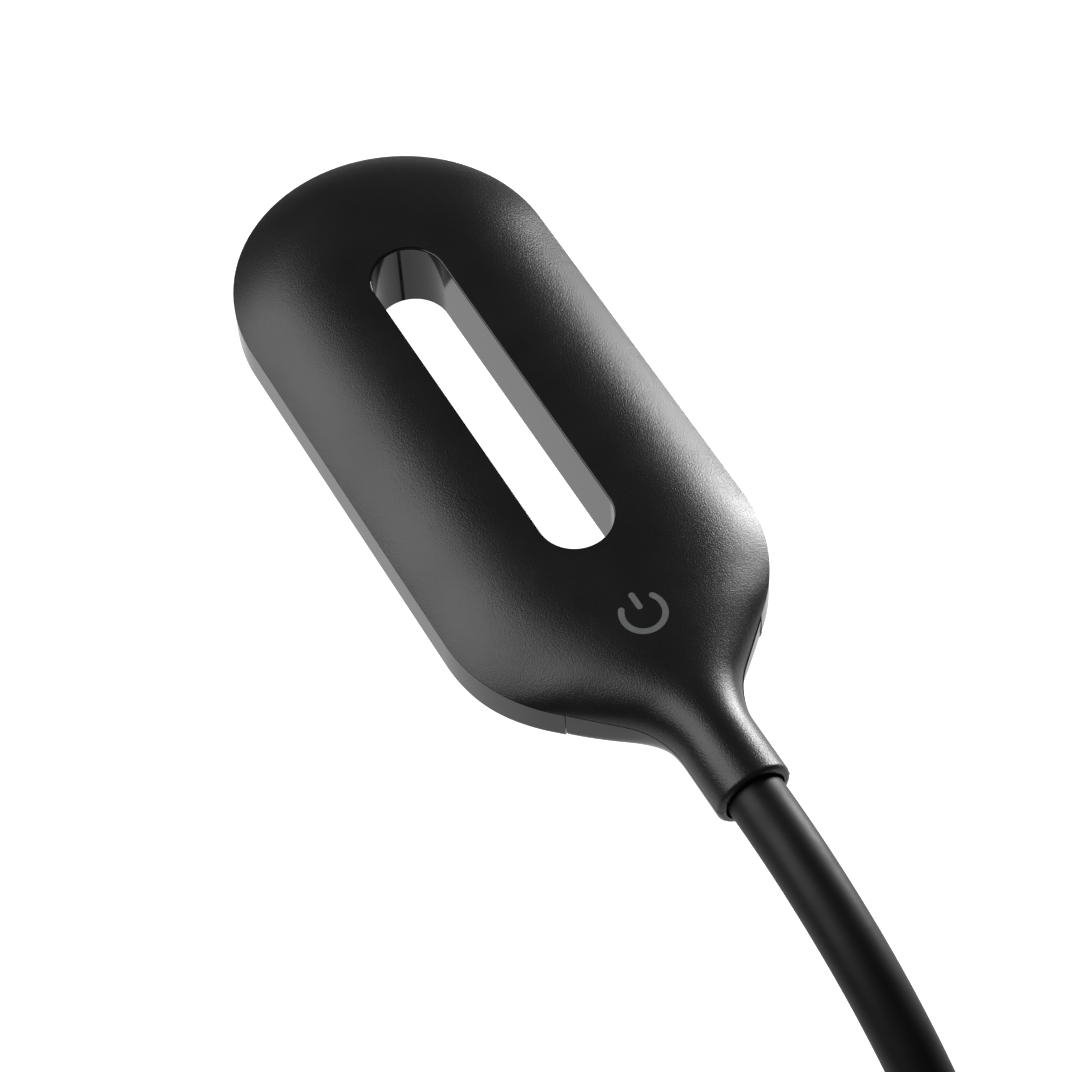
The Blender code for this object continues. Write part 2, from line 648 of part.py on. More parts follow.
def build_head():
    web_low = WEB_TOP - WEB_THICKNESS
    board_top = web_low - GAP
    board_low = board_top - BOARD_THICKNESS
    seat = board_low - GAP

    top = shell("head_top", dome_shape, -SLOT_LENGTH - SHELL_SLOT, "matt_black")
    for i, (x, y) in enumerate(head_screw_places(), 1):
        if x < -SLOT_LENGTH:
            height = dome_height(-SLOT_LENGTH, math.hypot(x + SLOT_LENGTH, y) + HEAD_BOSS_RADIUS)
        else:
            height = dome_height(x, abs(y) + HEAD_BOSS_RADIUS)
        foot = WEB_TOP + GAP
        crown = height - GAP
        join(top, f"head_boss_{i}", in_head(rod((x, y, foot), (x, y, crown), HEAD_BOSS_RADIUS, 16)))
        bore_top = min(seat + SCREW_LENGTH + GAP, crown - 2 * GAP)
        bore = rod((x, y, foot - MM), (x, y, bore_top), SCREW_SHANK + GAP, 12)
        cut(top, f"head_bore_{i}", in_head(bore))
        place = head_matrix() @ Vector((x, y, seat))
        screw_at(f"head_screw_{i}", place, length=bore_top - GAP - seat)

    side = plate([ring_loop(0.0), ring_loop(HEAD_WALL)], -RING_DEPTH, -GAP)
    ring = part("head_ring", in_head(side), "gloss_black")
    web = plate([ring_loop(HEAD_WALL / 2), stadium(SLOT_HALF_WIDTH + SLOT_WALL / 2, SLOT_LENGTH)], web_low, WEB_TOP)
    join(ring, "ring_web", in_head(web))
    slot_top = DOME_RISE - HEAD_WALL - GAP
    walls = [stadium(SLOT_WALL_OUTER, SLOT_LENGTH), stadium(SLOT_HALF_WIDTH, SLOT_LENGTH)]
    join(ring, "ring_slot_wall", in_head(plate(walls, -RING_DEPTH, slot_top)))
    for i, (x, y) in enumerate(head_screw_places(), 1):
        hole = rod((x, y, web_low - MM), (x, y, WEB_TOP + MM), SCREW_SHANK + GAP, 12)
        cut(ring, f"ring_hole_{i}", in_head(hole))

    shell("neck_cover", keel_shape, COVER_FRONT, "gloss_black", up=-1.0)

    inner_loops = [ring_loop(HEAD_WALL + GAP), stadium(SLOT_WALL_OUTER + GAP, SLOT_LENGTH)]
    board = part("led_board", in_head(plate(inner_loops, board_low, board_top)), "board_white")
    join(board, "leds", in_head(boxes(led_boxes(board_low))))
    for i, (x, y) in enumerate(head_screw_places(), 1):
        hole = rod((x, y, board_low - MM), (x, y, board_top + MM), SCREW_SHANK + GAP, 12)
        cut(board, f"board_hole_{i}", in_head(hole))
    low = -RING_DEPTH + DIFFUSER_RECESS
    part("diffuser", in_head(plate(inner_loops, low, low + DIFFUSER_THICKNESS)), "opal")

    x, y = TOUCH_BOARD[0] / 2, TOUCH_BOARD[1] / 2
    floor = WEB_TOP + GAP
    touch = cuboid((TOUCH_X - x, -y, floor), (TOUCH_X + x / 2, y, floor + BOARD_THICKNESS))
    part("touch_board", in_head(touch), "board_green", smooth=False)
    foot = floor + BOARD_THICKNESS + GAP + TOUCH_SPRING_WIRE
    crown = dome_shape(TOUCH_X)[0] - HEAD_WALL - GAP - TOUCH_SPRING_WIRE - 0.2 * MM
    count = TOUCH_SPRING_TURNS * 12
    coil = [
        (
            TOUCH_X + TOUCH_SPRING_RADIUS * math.cos(i * math.pi / 6),
            TOUCH_SPRING_RADIUS * math.sin(i * math.pi / 6),
            foot + (crown - foot) * i / count,
        )
        for i in range(count + 1)
    ]
    part("touch_spring", in_head(wire(coil, TOUCH_SPRING_WIRE, 1)), "steel")

    core_end = COLLAR_END - CORE_GRIP
    lead = [
        (core_end - GAP - 0.4 * MM, 0.0, 1.0 * MM),
        (core_end - 4 * MM, 0.0, 1.2 * MM),
        (core_end - 8 * MM, 3.0 * MM, 2.4 * MM),
        (TOUCH_X + x / 2 + GAP + HEAD_LEAD_RADIUS + 0.5 * MM, 3.0 * MM, 1.6 * MM),
    ]
    part("head_lead", in_head(wire(smooth_path(lead, 5), HEAD_LEAD_RADIUS)), "wire_red")
    return seat


def led_boxes(board_low):
    """The LEDs, evenly spaced round the middle of the ring, each sunk a little into its board."""
    half_x, half_y = LED_SIZE[0] / 2, LED_SIZE[1] / 2
    spans = []
    for i in range(LED_COUNT):
        x, y = ring_place((i + 0.5) * RING_PATH / LED_COUNT)
        low = (x - half_x, y - half_y, board_low - LED_SIZE[2])
        spans.append((low, (x + half_x, y + half_y, board_low + 0.1 * MM)))
    return spans


# ---- gooseneck --------------------------------------------------------------------------------------------------
def ball_profile(radius, socket, length, low_end, high_end):
    """Half section of a core link: a ball at its lower end and a socket at its upper end, or plain ends."""
    points = []
    if high_end == "socket":
        rim = math.sqrt(socket**2 - radius**2)
        points.append((radius, length - rim))
    else:
        points.append((radius, length + high_end))
    if low_end == "ball":
        least = math.asin(CORE_BORE / radius)
        turns = 6
        for i in range(turns + 1):
            a = math.pi / 2 + (math.pi / 2 - least) * i / turns
            points.append((radius * math.sin(a), radius * math.cos(a)))
    else:
        points += [(radius, -low_end), (CORE_BORE, -low_end)]
    if high_end == "socket":
        start = math.asin(CORE_BORE / socket)
        stop = math.asin(radius / socket)
        turns = 5
        for i in range(turns):
            a = start + (stop - start) * i / turns
            points.append((socket * math.sin(a), length - socket * math.cos(a)))
    else:
        points.append((CORE_BORE, length + high_end))
    return points


def build_gooseneck():
    """Core and sleeve links. Each link's origin is on the joint at its lower end and its Z axis runs along it."""
    socket = CORE_RADIUS + GAP
    joint_gap = GOOSENECK_RADIUS * math.tan(LINK_BEND_LIMIT / 2) + GAP
    bore = GOOSENECK_RADIUS - SLEEVE_WALL
    for i in range(LINK_COUNT + 1):
        first, last = i == 0, i == LINK_COUNT
        length = LINK_LENGTH if not (first or last) else LINK_LENGTH / 2
        place = Vector((STEM_X, 0.0, STEM_TOP)) if first else CENTRES[i - 1]
        low_end = CORE_GRIP if first else "ball"
        high_end = CORE_GRIP if last else "socket"
        core = turned(f"core_{i:02d}", ball_profile(CORE_RADIUS, socket, length, low_end, high_end), "steel",
                      closed=True, steps=14)
        low = -SLEEVE_GRIP if first else joint_gap
        high = length + SLEEVE_GRIP if last else length - joint_gap
        tube = [(GOOSENECK_RADIUS, high), (GOOSENECK_RADIUS, low), (bore, low), (bore, high)]
        sleeve = turned(f"sleeve_{i:02d}", tube, "silicone", closed=True, steps=20)
        for piece in (core, sleeve):
            piece.location = place
            piece.rotation_euler = (0.0, -LEANS[i], 0.0)
        if last:
            build_head_ferrule(place, length)


def build_head_ferrule(place, length):
    """A crimped tube on the core's end, held between the two halves of the neck."""
    inner = CORE_RADIUS + GAP
    outer = inner + FERRULE_WALL
    start = length + SLEEVE_GRIP + GAP
    tube = [(outer, start + FERRULE_LENGTH), (outer, start), (inner, start), (inner, start + FERRULE_LENGTH)]
    made = turned("head_ferrule", tube, "brass", closed=True, steps=16)
    made.location = place
    made.rotation_euler = (0.0, -LEANS[-1], 0.0)


# ---- clip -------------------------------------------------------------------------------------------------------
def clip_loop(inset):
    """The clip's outline in plan: a round nose and a squarer tail, moved inwards by inset."""
    radius = CLIP_HALF_WIDTH
    nose = CLIP_NOSE + radius
    corner = CLIP_TAIL_CORNER
    points = []
    for i in range(9):
        a = math.pi - i * math.pi / 16
        points.append((nose + (radius - inset) * math.cos(a), (radius - inset) * math.sin(a)))
    for i in range(7):
        a = math.pi / 2 - i * math.pi / 12
        points.append((
            CLIP_TAIL - corner + (corner - inset) * math.cos(a),
            CLIP_HALF_WIDTH - corner + (corner - inset) * math.sin(a),
        ))
    points[0] = (points[0][0], 0.0)
    return mirrored(points)


def rounded_block(loop, low, high, edge, side):
    """A slab whose upper (side 1) or lower (side -1) edge is rounded."""
    bm = bmesh.new()
    face = bm.faces.new([bm.verts.new((x, y, low)) for x, y in loop])
    made = bmesh.ops.extrude_face_region(bm, geom=[face])["geom"]
    lifted = [v for v in made if isinstance(v, bmesh.types.BMVert)]
    bmesh.ops.translate(bm, vec=(0, 0, high - low), verts=lifted)
    level = high if side > 0 else low
    rim = [e for e in bm.edges if all(abs(v.co.z - level) < 1e-7 for v in e.verts)]
    bmesh.ops.bevel(bm, geom=rim, offset=edge, segments=3, profile=0.5, affect="EDGES")
    bmesh.ops.recalc_face_normals(bm, faces=bm.faces)
    return to_mesh("block", bm)


def clip_screw_places():
    """Four screws up through the bottom cover: two beside the pad and two at the tail."""
    side = CLIP_HALF_WIDTH - CLIP_WALL - CLIP_BOSS_RADIUS + 0.5 * MM
    tail_side = CLIP_HALF_WIDTH - CLIP_TAIL_CORNER + 4.2 * MM
    tail_x = CLIP_TAIL - CLIP_TAIL_CORNER
    return [(4 * MM, side), (4 * MM, -side), (tail_x, tail_side), (tail_x, -tail_side)]


def build_clip_covers():
    floor = UNDERSIDE + CLIP_WALL
    ceiling = CLIP_TOP - CLIP_WALL
    top = part(
        "clip_top_cover",
        rounded_block(clip_loop(0.0), CLIP_SPLIT, CLIP_TOP, CLIP_EDGE, 1),
        "matt_black",
    )
    hollow = rounded_block(clip_loop(CLIP_WALL), CLIP_SPLIT - MM, ceiling, CLIP_EDGE - CLIP_WALL, 1)
    cut(top, "top_cover_hollow", hollow)
    join(top, "stem_boss", stem_boss())
    passage = rod((STEM_X, 0, ceiling - MM), (STEM_X, 0, STEM_TOP + MM), COLLAR_BORE, 28)
    cut(top, "stem_passage", passage)

    bottom = part(
        "clip_bottom_cover",
        rounded_block(clip_loop(0.0), UNDERSIDE, CLIP_SPLIT - GAP, CLIP_LOWER_EDGE, -1),
        "matt_black",
    )
    cut(bottom, "bottom_cover_hollow", plate([clip_loop(CLIP_WALL)], floor, CLIP_SPLIT + MM))
    inner, outer = EAR_INNER, EAR_INNER + EAR_THICKNESS
    for side in (1, -1):
        low, high = sorted((side * inner, side * outer))
        ear = cuboid((PIN_X - EAR_RADIUS, low, PIN_Z), (PIN_X + EAR_RADIUS, high, UNDERSIDE + MM))
        join(bottom, f"ear_{side}", ear)
        join(bottom, f"ear_round_{side}", rod((PIN_X, low, PIN_Z), (PIN_X, high, PIN_Z), EAR_RADIUS, 24))
    reach = outer + MM
    cut(bottom, "ear_bore", rod((PIN_X, -reach, PIN_Z), (PIN_X, reach, PIN_Z), PIN_RADIUS + GAP, 20))
    for i, (x, y) in enumerate(clip_screw_places(), 1):
        seat = UNDERSIDE + SCREW_HEAD_HEIGHT + GAP
        join(bottom, f"clip_post_{i}", rod((x, y, UNDERSIDE + MM), (x, y, CLIP_SPLIT - GAP), CLIP_BOSS_RADIUS, 16))
        cut(bottom, f"clip_hole_{i}", rod((x, y, UNDERSIDE - MM), (x, y, CLIP_SPLIT + MM), SCREW_SHANK + GAP, 12))
        cut(bottom, f"clip_head_{i}", rod((x, y, UNDERSIDE - MM), (x, y, seat), SCREW_HEAD + GAP, 16))
        join(top, f"clip_boss_{i}", rod((x, y, CLIP_SPLIT), (x, y, ceiling + MM / 2), CLIP_BOSS_RADIUS, 16))
        bore_top = CLIP_SPLIT + SCREW_LENGTH
        cut(top, f"clip_bore_{i}", rod((x, y, CLIP_SPLIT - MM), (x, y, bore_top), SCREW_SHANK + GAP, 12))
        screw_at(f"clip_screw_{i}", (x, y, seat - GAP), length=bore_top - seat)

    for i, side in enumerate((1, -1), 1):
        y = side * STEM_SCREW_SPACING / 2
        bore = rod((STEM_X, y, ceiling - MM), (STEM_X, y, CLIP_TOP - GAP * 2), SCREW_SHANK + GAP, 12)
        cut(top, f"stem_bore_{i}", bore)
        flange_low = ceiling - GAP - STEM_FLANGE_THICKNESS
        screw_at(f"stem_screw_{i}", (STEM_X, y, flange_low - GAP),
                 length=CLIP_TOP - 3 * GAP - flange_low)

    cut(bottom, "socket_window", cuboid(*socket_box(GAP, 2 * CLIP_WALL)))
    x, y, z = light_pipe_place()
    cut(bottom, "light_window", rod((x - 2 * CLIP_WALL, y, z), (x + MM, y, z), LIGHT_PIPE_RADIUS + GAP, 12))


def stem_boss():
    """The collar on top of the clip that the gooseneck rises from, with a flared foot."""
    flare = 4.0 * MM
    bm = bmesh.new()
    profile = [(0.0, STEM_TOP), (NECK_RADIUS - COLLAR_EDGE, STEM_TOP)]
    for i in range(1, 4):
        a = i * math.pi / 6
        profile.append((
            NECK_RADIUS - COLLAR_EDGE * (1 - math.sin(a)),
            STEM_TOP - COLLAR_EDGE * (1 - math.cos(a)),
        ))
    for i in range(6):
        a = i * math.pi / 10
        profile.append((NECK_RADIUS + flare * (1 - math.cos(a)), CLIP_TOP + flare * (1 - math.sin(a))))
    profile += [(NECK_RADIUS + flare, CLIP_TOP - CLIP_WALL / 2), (0.0, CLIP_TOP - CLIP_WALL / 2)]
    verts = [bm.verts.new((STEM_X + r, 0.0, z)) for r, z in profile]
    edges = [bm.edges.new(pair) for pair in zip(verts, verts[1:])]
    bmesh.ops.spin(
        bm, geom=verts + edges, axis=(0, 0, 1), cent=(STEM_X, 0, 0), angle=2 * math.pi, steps=28, use_merge=True
    )
    bmesh.ops.remove_doubles(bm, verts=bm.verts, dist=0.000001)
    bmesh.ops.recalc_face_normals(bm, faces=bm.faces)
    return to_mesh("stem_boss", bm)


def socket_box(margin, extra):
    """The charging socket's box, grown by margin and run out past the tail by extra."""
    length, width, height = USB_SOCKET
    low = charge_board_top() + GAP
    return (
        (CLIP_TAIL - length - margin, -width / 2 - margin, low - margin),
        (CLIP_TAIL + extra, width / 2 + margin, low + height + margin),
    )


def charge_board_top():
    return UNDERSIDE + CLIP_WALL + GAP + BOARD_THICKNESS


def light_pipe_place():
    low, high = socket_box(0.0, 0.0)
    return CLIP_TAIL, LIGHT_PIPE_OFFSET - 2 * MM, (low[2] + high[2]) / 2


def pad_grooves(level, direction):
    """Grooves across a pad's face, on both sides of the flat land at its middle."""
    spans = []
    pitch = PAD_GROOVE_WIDTH + PAD_LAND
    count = int((PAD_LENGTH / 2 - PAD_LAND / 2) // pitch)
    for side in (1, -1):
        for i in range(count):
            near = PAD_LAND / 2 + i * pitch
            x0, x1 = sorted((side * near, side * (near + PAD_GROOVE_WIDTH)))
            z0, z1 = sorted((level - direction * MM, level + direction * PAD_GROOVE_DEPTH))
            spans.append(((x0, -PAD_WIDTH, z0), (x1, PAD_WIDTH, z1)))
    return boxes(spans)


def build_pads():
    x, y = PAD_LENGTH / 2, PAD_WIDTH / 2
    fixed = part("fixed_pad", cuboid((-x, -y, 0.0), (x, y, PAD_THICKNESS)), "rubber", smooth=False)
    cut(fixed, "fixed_grooves", pad_grooves(0.0, 1))
    high = -PARALLEL_GRIP
    moving = cuboid((-x, -y, high - PAD_THICKNESS), (x, y, high))
    grooves = pad_grooves(high, -1)
    for mesh in (moving, grooves):
        mesh.transform(closing_matrix())
    piece = part("moving_pad", moving, "rubber", smooth=False)
    cut(piece, "moving_grooves", grooves)
    set_origin(piece, (PIN_X, 0.0, PIN_Z))


def set_origin(item, place):
    """Moves an object's origin to its joint, leaving its shape where it is."""
    item.data.transform(Matrix.Translation(-Vector(place)))
    item.location = place


def closing_matrix():
    """Turns the moving jaw about its pin from where the pads are parallel to where their noses meet."""
    pin = Vector((PIN_X, 0.0, PIN_Z))
    return Matrix.Translation(pin) @ Matrix.Rotation(JAW_CLOSE, 4, "Y") @ Matrix.Translation(-pin)


def closed(mesh):
    mesh.transform(closing_matrix())
    return mesh


def build_moving_jaw():
    """The lower jaw, its hinge barrel and its lever, shaped with the pads parallel and then closed."""
    low = JAW_TOP - JAW_THICKNESS
    arm_end = PIN_X - EAR_RADIUS - 2 * MM
    half = [p for p in clip_loop(0.0) if p[0] < arm_end and p[1] >= 0] + [(arm_end, CLIP_HALF_WIDTH)]
    plate_mesh = rounded_block(mirrored(half), low, JAW_TOP, CLIP_LOWER_EDGE, -1)
    jaw = part("moving_jaw", closed(plate_mesh), "matt_black")
    knuckle = EAR_INNER - GAP
    side = knuckle - MM / 2
    tongue = cuboid((arm_end - 4 * MM, -side, low + MM), (PIN_X, side, PIN_Z + MM / 5))
    join(jaw, "hinge_tongue", closed(tongue))
    join(jaw, "hinge_barrel", rod((PIN_X, -knuckle, PIN_Z), (PIN_X, knuckle, PIN_Z), EAR_RADIUS, 24))
    join(jaw, "thumb_lever", closed(lever()))
    inner = knuckle - KNUCKLE_WIDTH
    pocket_radius = SPRING_RADIUS + SPRING_WIRE + 2 * GAP
    cut(jaw, "spring_pocket", rod((PIN_X, -inner, PIN_Z), (PIN_X, inner, PIN_Z), pocket_radius, 24))
    reach = EAR_RADIUS + MM
    side = inner + MM / 5
    mouth = cuboid((PIN_X - reach, -side, PIN_Z - MM / 2), (PIN_X + reach, side, PIN_Z + EAR_RADIUS + MM))
    cut(jaw, "spring_pocket_mouth", mouth)
    middle, half_groove = spring_half_width(), SPRING_WIRE + GAP
    depth = -SPRING_RADIUS - SPRING_WIRE - GAP
    groove = cuboid((0.0, middle - half_groove, depth), (SPRING_LEG + MM, middle + half_groove, EAR_RADIUS))
    groove.transform(lever_matrix())
    cut(jaw, "spring_groove", closed(groove))
    bore = rod((PIN_X, -knuckle - MM, PIN_Z), (PIN_X, knuckle + MM, PIN_Z), PIN_RADIUS + GAP, 20)
    cut(jaw, "knuckle_bore", bore)
    set_origin(jaw, (PIN_X, 0.0, PIN_Z))


def lever():
    """The squeeze lever behind the hinge: narrow between the ears, wide behind them, falling away from the clip."""
    knuckle = EAR_INNER - MM
    wide_from = EAR_RADIUS + 2 * MM
    corner = LEVER_CORNER
    half = [(EAR_RADIUS * 0.4, knuckle), (wide_from, knuckle), (wide_from + 4 * MM, LEVER_HALF_WIDTH)]
    for i in range(6):
        a = math.pi / 2 - i * math.pi / 10
        half.append((
            LEVER_LENGTH - corner + corner * math.cos(a),
            LEVER_HALF_WIDTH - corner + corner * math.sin(a),
        ))
    slab = plate([mirrored(half)], LEVER_TOP - LEVER_THICKNESS, LEVER_TOP)
    slab.transform(lever_matrix())
    return slab


def lever_matrix():
    """Places the lever's own frame, with X along it and Y on the hinge, in the lamp's frame."""
    return Matrix.Translation((PIN_X, 0, PIN_Z)) @ Matrix.Rotation(LEVER_ANGLE, 4, "Y")


def spring_half_width():
    """Half the coil's length along the pin, between the middles of its two legs."""
    return SPRING_TURNS * (SPRING_WIRE + SPRING_PITCH_GAP / 2)


def build_hinge():
    reach = EAR_INNER + EAR_THICKNESS
    seat = reach + GAP
    shank = rod((PIN_X, -reach - 1.6 * MM, PIN_Z), (PIN_X, seat + MM / 2, PIN_Z), PIN_RADIUS, 20)
    pin = part("hinge_pin", shank, "steel")
    head = rod((PIN_X, seat, PIN_Z), (PIN_X, seat + MM, PIN_Z), PIN_HEAD, 20)
    join(pin, "pin_head", head)
    inner, outer = PIN_RADIUS + 0.1 * MM, PIN_HEAD
    ring = turned(
        "pin_clip",
        [(outer, 0.35 * MM), (outer, -0.35 * MM), (inner, -0.35 * MM), (inner, 0.35 * MM)],
        "steel", closed=True, steps=20,
    )
    ring.location = (PIN_X, -reach - GAP - 0.5 * MM, PIN_Z)
    ring.rotation_euler = (math.pi / 2, 0.0, 0.0)

    width = 2 * spring_half_width()
    fall = LEVER_ANGLE + JAW_CLOSE
    count = int((SPRING_TURNS + 0.5) * 12)
    upper_leg = [(PIN_X + SPRING_LEG, -width / 2, UNDERSIDE - GAP - SPRING_WIRE)]
    coil = []
    for i in range(count + 1):
        a = math.pi / 2 + i / count * (SPRING_TURNS * 2 * math.pi + math.pi - fall)
        y = -width / 2 + width * i / count
        coil.append((PIN_X + SPRING_RADIUS * math.cos(a), y, PIN_Z + SPRING_RADIUS * math.sin(a)))
    ahead = Vector((math.cos(fall), 0.0, -math.sin(fall)))
    lower_leg = [tuple(Vector(coil[-1]) + ahead * SPRING_LEG)]
    part("jaw_spring", wire(upper_leg + coil + lower_leg, SPRING_WIRE, 1), "steel")


def pill(radius, straight, start, end):
    """A bar along X with a flat-sided round section, centred on the charging socket's axis."""
    low, high = socket_box(0.0, 0.0)
    bar = plate([stadium(radius, straight)], start, end)
    axes = Matrix(((0, 0, 1, 0), (1, 0, 0, 0), (0, 1, 0, 0), (0, 0, 0, 1)))
    bar.transform(Matrix.Translation((0, straight / 2, (low[2] + high[2]) / 2)) @ axes)
    return bar


def build_clip_inside():
    floor = UNDERSIDE + CLIP_WALL + GAP
    length, width, height = BATTERY
    start = CLIP_NOSE + CLIP_WALL + 8 * MM
    cell = cuboid((start, -width / 2, floor), (start + length, width / 2, floor + height), edge=1.5 * MM)
    part("battery", cell, "cell_wrap")
    length, width = CHARGE_BOARD
    end = CLIP_TAIL - CLIP_WALL - GAP
    board = cuboid((end - length, -width / 2, floor), (end, width / 2, floor + BOARD_THICKNESS))
    part("charge_board", board, "board_green", smooth=False)

    length, width, height = USB_SOCKET
    low, high = socket_box(0.0, 0.0)
    socket = part("usb_socket", pill(height / 2, width - height, low[0], high[0]), "steel")
    cavity = pill(height / 2 - USB_WALL, width - height, low[0] + USB_WALL, high[0] + MM)
    cut(socket, "socket_inside", cavity)
    middle = (low[2] + high[2]) / 2
    tongue_low = (low[0] + USB_WALL / 2, -USB_TONGUE / 2, middle - USB_WALL)
    join(socket, "socket_tongue", cuboid(tongue_low, (high[0] - MM, USB_TONGUE / 2, middle + USB_WALL)))

    x, y, z = light_pipe_place()
    pipe = rod((x - CLIP_WALL - 2 * MM, y, z), (x, y, z), LIGHT_PIPE_RADIUS, 16)
    part("charge_light_pipe", pipe, "clear")

    battery_end = CLIP_NOSE + CLIP_WALL + 8 * MM + BATTERY[0]
    lead = [
        (battery_end + GAP, 7 * MM, floor + 3 * MM),
        (battery_end + 6 * MM, 7 * MM, floor + 3 * MM),
        (battery_end + 14 * MM, 9 * MM, floor + 2 * MM),
        (end - CHARGE_BOARD[0] - GAP, 6 * MM, floor + 2 * MM),
    ]
    part("battery_lead", wire(smooth_path(lead, 5), BATTERY_LEAD_RADIUS), "wire_red")

    ceiling = CLIP_TOP - CLIP_WALL
    inner = CORE_RADIUS + GAP
    outer = inner + FERRULE_WALL
    flange_top = ceiling - GAP
    flange_low = flange_top - STEM_FLANGE_THICKNESS
    profile = [
        (outer, STEM_TOP - SLEEVE_GRIP - GAP),
        (outer, flange_top),
        (STEM_FLANGE, flange_top),
        (STEM_FLANGE, flange_low),
        (inner, flange_low),
        (inner, STEM_TOP - SLEEVE_GRIP - GAP),
    ]
    ferrule = turned("base_ferrule", profile, "brass", closed=True, steps=28)
    ferrule.location = (STEM_X, 0.0, 0.0)
    for i, side in enumerate((1, -1), 1):
        y = side * STEM_SCREW_SPACING / 2
        hole = rod((STEM_X, y, flange_low - MM), (STEM_X, y, flange_top + MM), SCREW_SHANK + GAP, 12)
        cut(ferrule, f"flange_hole_{i}", hole)


def main():
    clear_scene()
    make_collections()
    build_head()
    build_gooseneck()
    build_clip_covers()
    build_pads()
    build_moving_jaw()
    build_hinge()
    build_clip_inside()


main()
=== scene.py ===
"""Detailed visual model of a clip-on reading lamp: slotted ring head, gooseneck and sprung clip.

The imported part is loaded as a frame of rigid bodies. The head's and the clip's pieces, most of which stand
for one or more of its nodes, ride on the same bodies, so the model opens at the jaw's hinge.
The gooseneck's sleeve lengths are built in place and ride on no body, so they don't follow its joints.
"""

import json
import logging
import math
from dataclasses import dataclass, field
from enum import Enum
from typing import Callable, Iterable, Sequence

import bmesh
import bpy
from mathutils import Matrix, Vector

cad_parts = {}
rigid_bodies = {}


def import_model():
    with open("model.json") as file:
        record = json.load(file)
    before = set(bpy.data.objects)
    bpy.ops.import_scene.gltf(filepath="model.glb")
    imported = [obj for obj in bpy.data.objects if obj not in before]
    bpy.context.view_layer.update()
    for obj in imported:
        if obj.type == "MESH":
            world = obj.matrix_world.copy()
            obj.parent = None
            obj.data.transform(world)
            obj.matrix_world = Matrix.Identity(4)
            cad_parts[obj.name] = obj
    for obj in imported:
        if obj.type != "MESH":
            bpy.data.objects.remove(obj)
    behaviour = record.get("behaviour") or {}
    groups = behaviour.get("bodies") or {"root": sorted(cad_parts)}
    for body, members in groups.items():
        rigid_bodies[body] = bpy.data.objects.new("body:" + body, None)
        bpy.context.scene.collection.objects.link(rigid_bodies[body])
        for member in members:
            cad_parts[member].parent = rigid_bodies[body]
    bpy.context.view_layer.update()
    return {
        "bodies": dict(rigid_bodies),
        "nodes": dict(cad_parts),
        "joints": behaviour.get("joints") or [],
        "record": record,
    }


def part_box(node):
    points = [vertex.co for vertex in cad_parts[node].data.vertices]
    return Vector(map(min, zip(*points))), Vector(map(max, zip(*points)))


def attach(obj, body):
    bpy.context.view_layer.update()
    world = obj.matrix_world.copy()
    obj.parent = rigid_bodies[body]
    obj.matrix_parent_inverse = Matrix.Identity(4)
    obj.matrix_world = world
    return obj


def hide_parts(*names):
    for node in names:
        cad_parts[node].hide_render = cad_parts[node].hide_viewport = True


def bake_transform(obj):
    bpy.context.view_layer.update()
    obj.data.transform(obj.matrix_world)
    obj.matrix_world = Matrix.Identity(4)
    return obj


MM = 0.001
NEAR = 0.001 * MM  # points closer than this are one point
TURN = 2 * math.pi
LOG = logging.getLogger("reading_lamp")


# ---- small tools ---------------------------------------------------------------------------------
def ease(t: float) -> float:
    """Rise smoothly from 0 to 1.

    Args:
        t: Progress, cut to 0 and 1.

    Returns:
        The eased progress.
    """
    t = min(max(t, 0.0), 1.0)
    return t * t * (3 - 2 * t)


def sine_steps(count: int) -> list[float]:
    """Steps from 0 to 1 that crowd together towards 1.

    Args:
        count: Number of intervals.

    Returns:
        count + 1 values.
    """
    return [math.sin(math.pi / 2 * i / count) for i in range(count + 1)]


def cosine_steps(count: int) -> list[float]:
    """Steps from 0 to 1 that crowd together at both ends.

    Args:
        count: Number of intervals.

    Returns:
        count + 1 values.
    """
    return [(1 - math.cos(math.pi * i / count)) / 2 for i in range(count + 1)]


def mapped_grid(bm: bmesh.types.BMesh, rows: int, columns: int, place: Callable[[int, int], Vector]) -> list:
    """Add a grid and move each of its points to where a surface puts it.

    Args:
        bm: The mesh to add to.
        rows: Intervals along the first direction.
        columns: Intervals along the second direction.
        place: Gives the point for a row and a column.

    Returns:
        The new vertices.
    """
    made = bmesh.ops.create_grid(bm, x_segments=rows, y_segments=columns, size=0.5)["verts"]
    for vert in made:
        vert.co = place(round((vert.co.x + 0.5) * rows), round((vert.co.y + 0.5) * columns))
    return made


def mirror_half(bm: bmesh.types.BMesh) -> None:
    """Add the other half across y = 0 and weld the two together.

    Args:
        bm: The mesh, whose points on the symmetry plane are first put exactly on it.
    """
    for vert in bm.verts:
        if abs(vert.co.y) < NEAR:
            vert.co.y = 0.0
    everything = bm.verts[:] + bm.edges[:] + bm.faces[:]
    bmesh.ops.mirror(bm, geom=everything, matrix=Matrix.Identity(4), merge_dist=2 * NEAR, axis="Y")
    weld(bm)


def weld(bm: bmesh.types.BMesh, distance: float = 2 * NEAR) -> None:
    """Merge points that coincide and drop what collapses."""
    bmesh.ops.remove_doubles(bm, verts=bm.verts, dist=distance)
    bmesh.ops.dissolve_degenerate(bm, dist=distance / 10, edges=bm.edges)


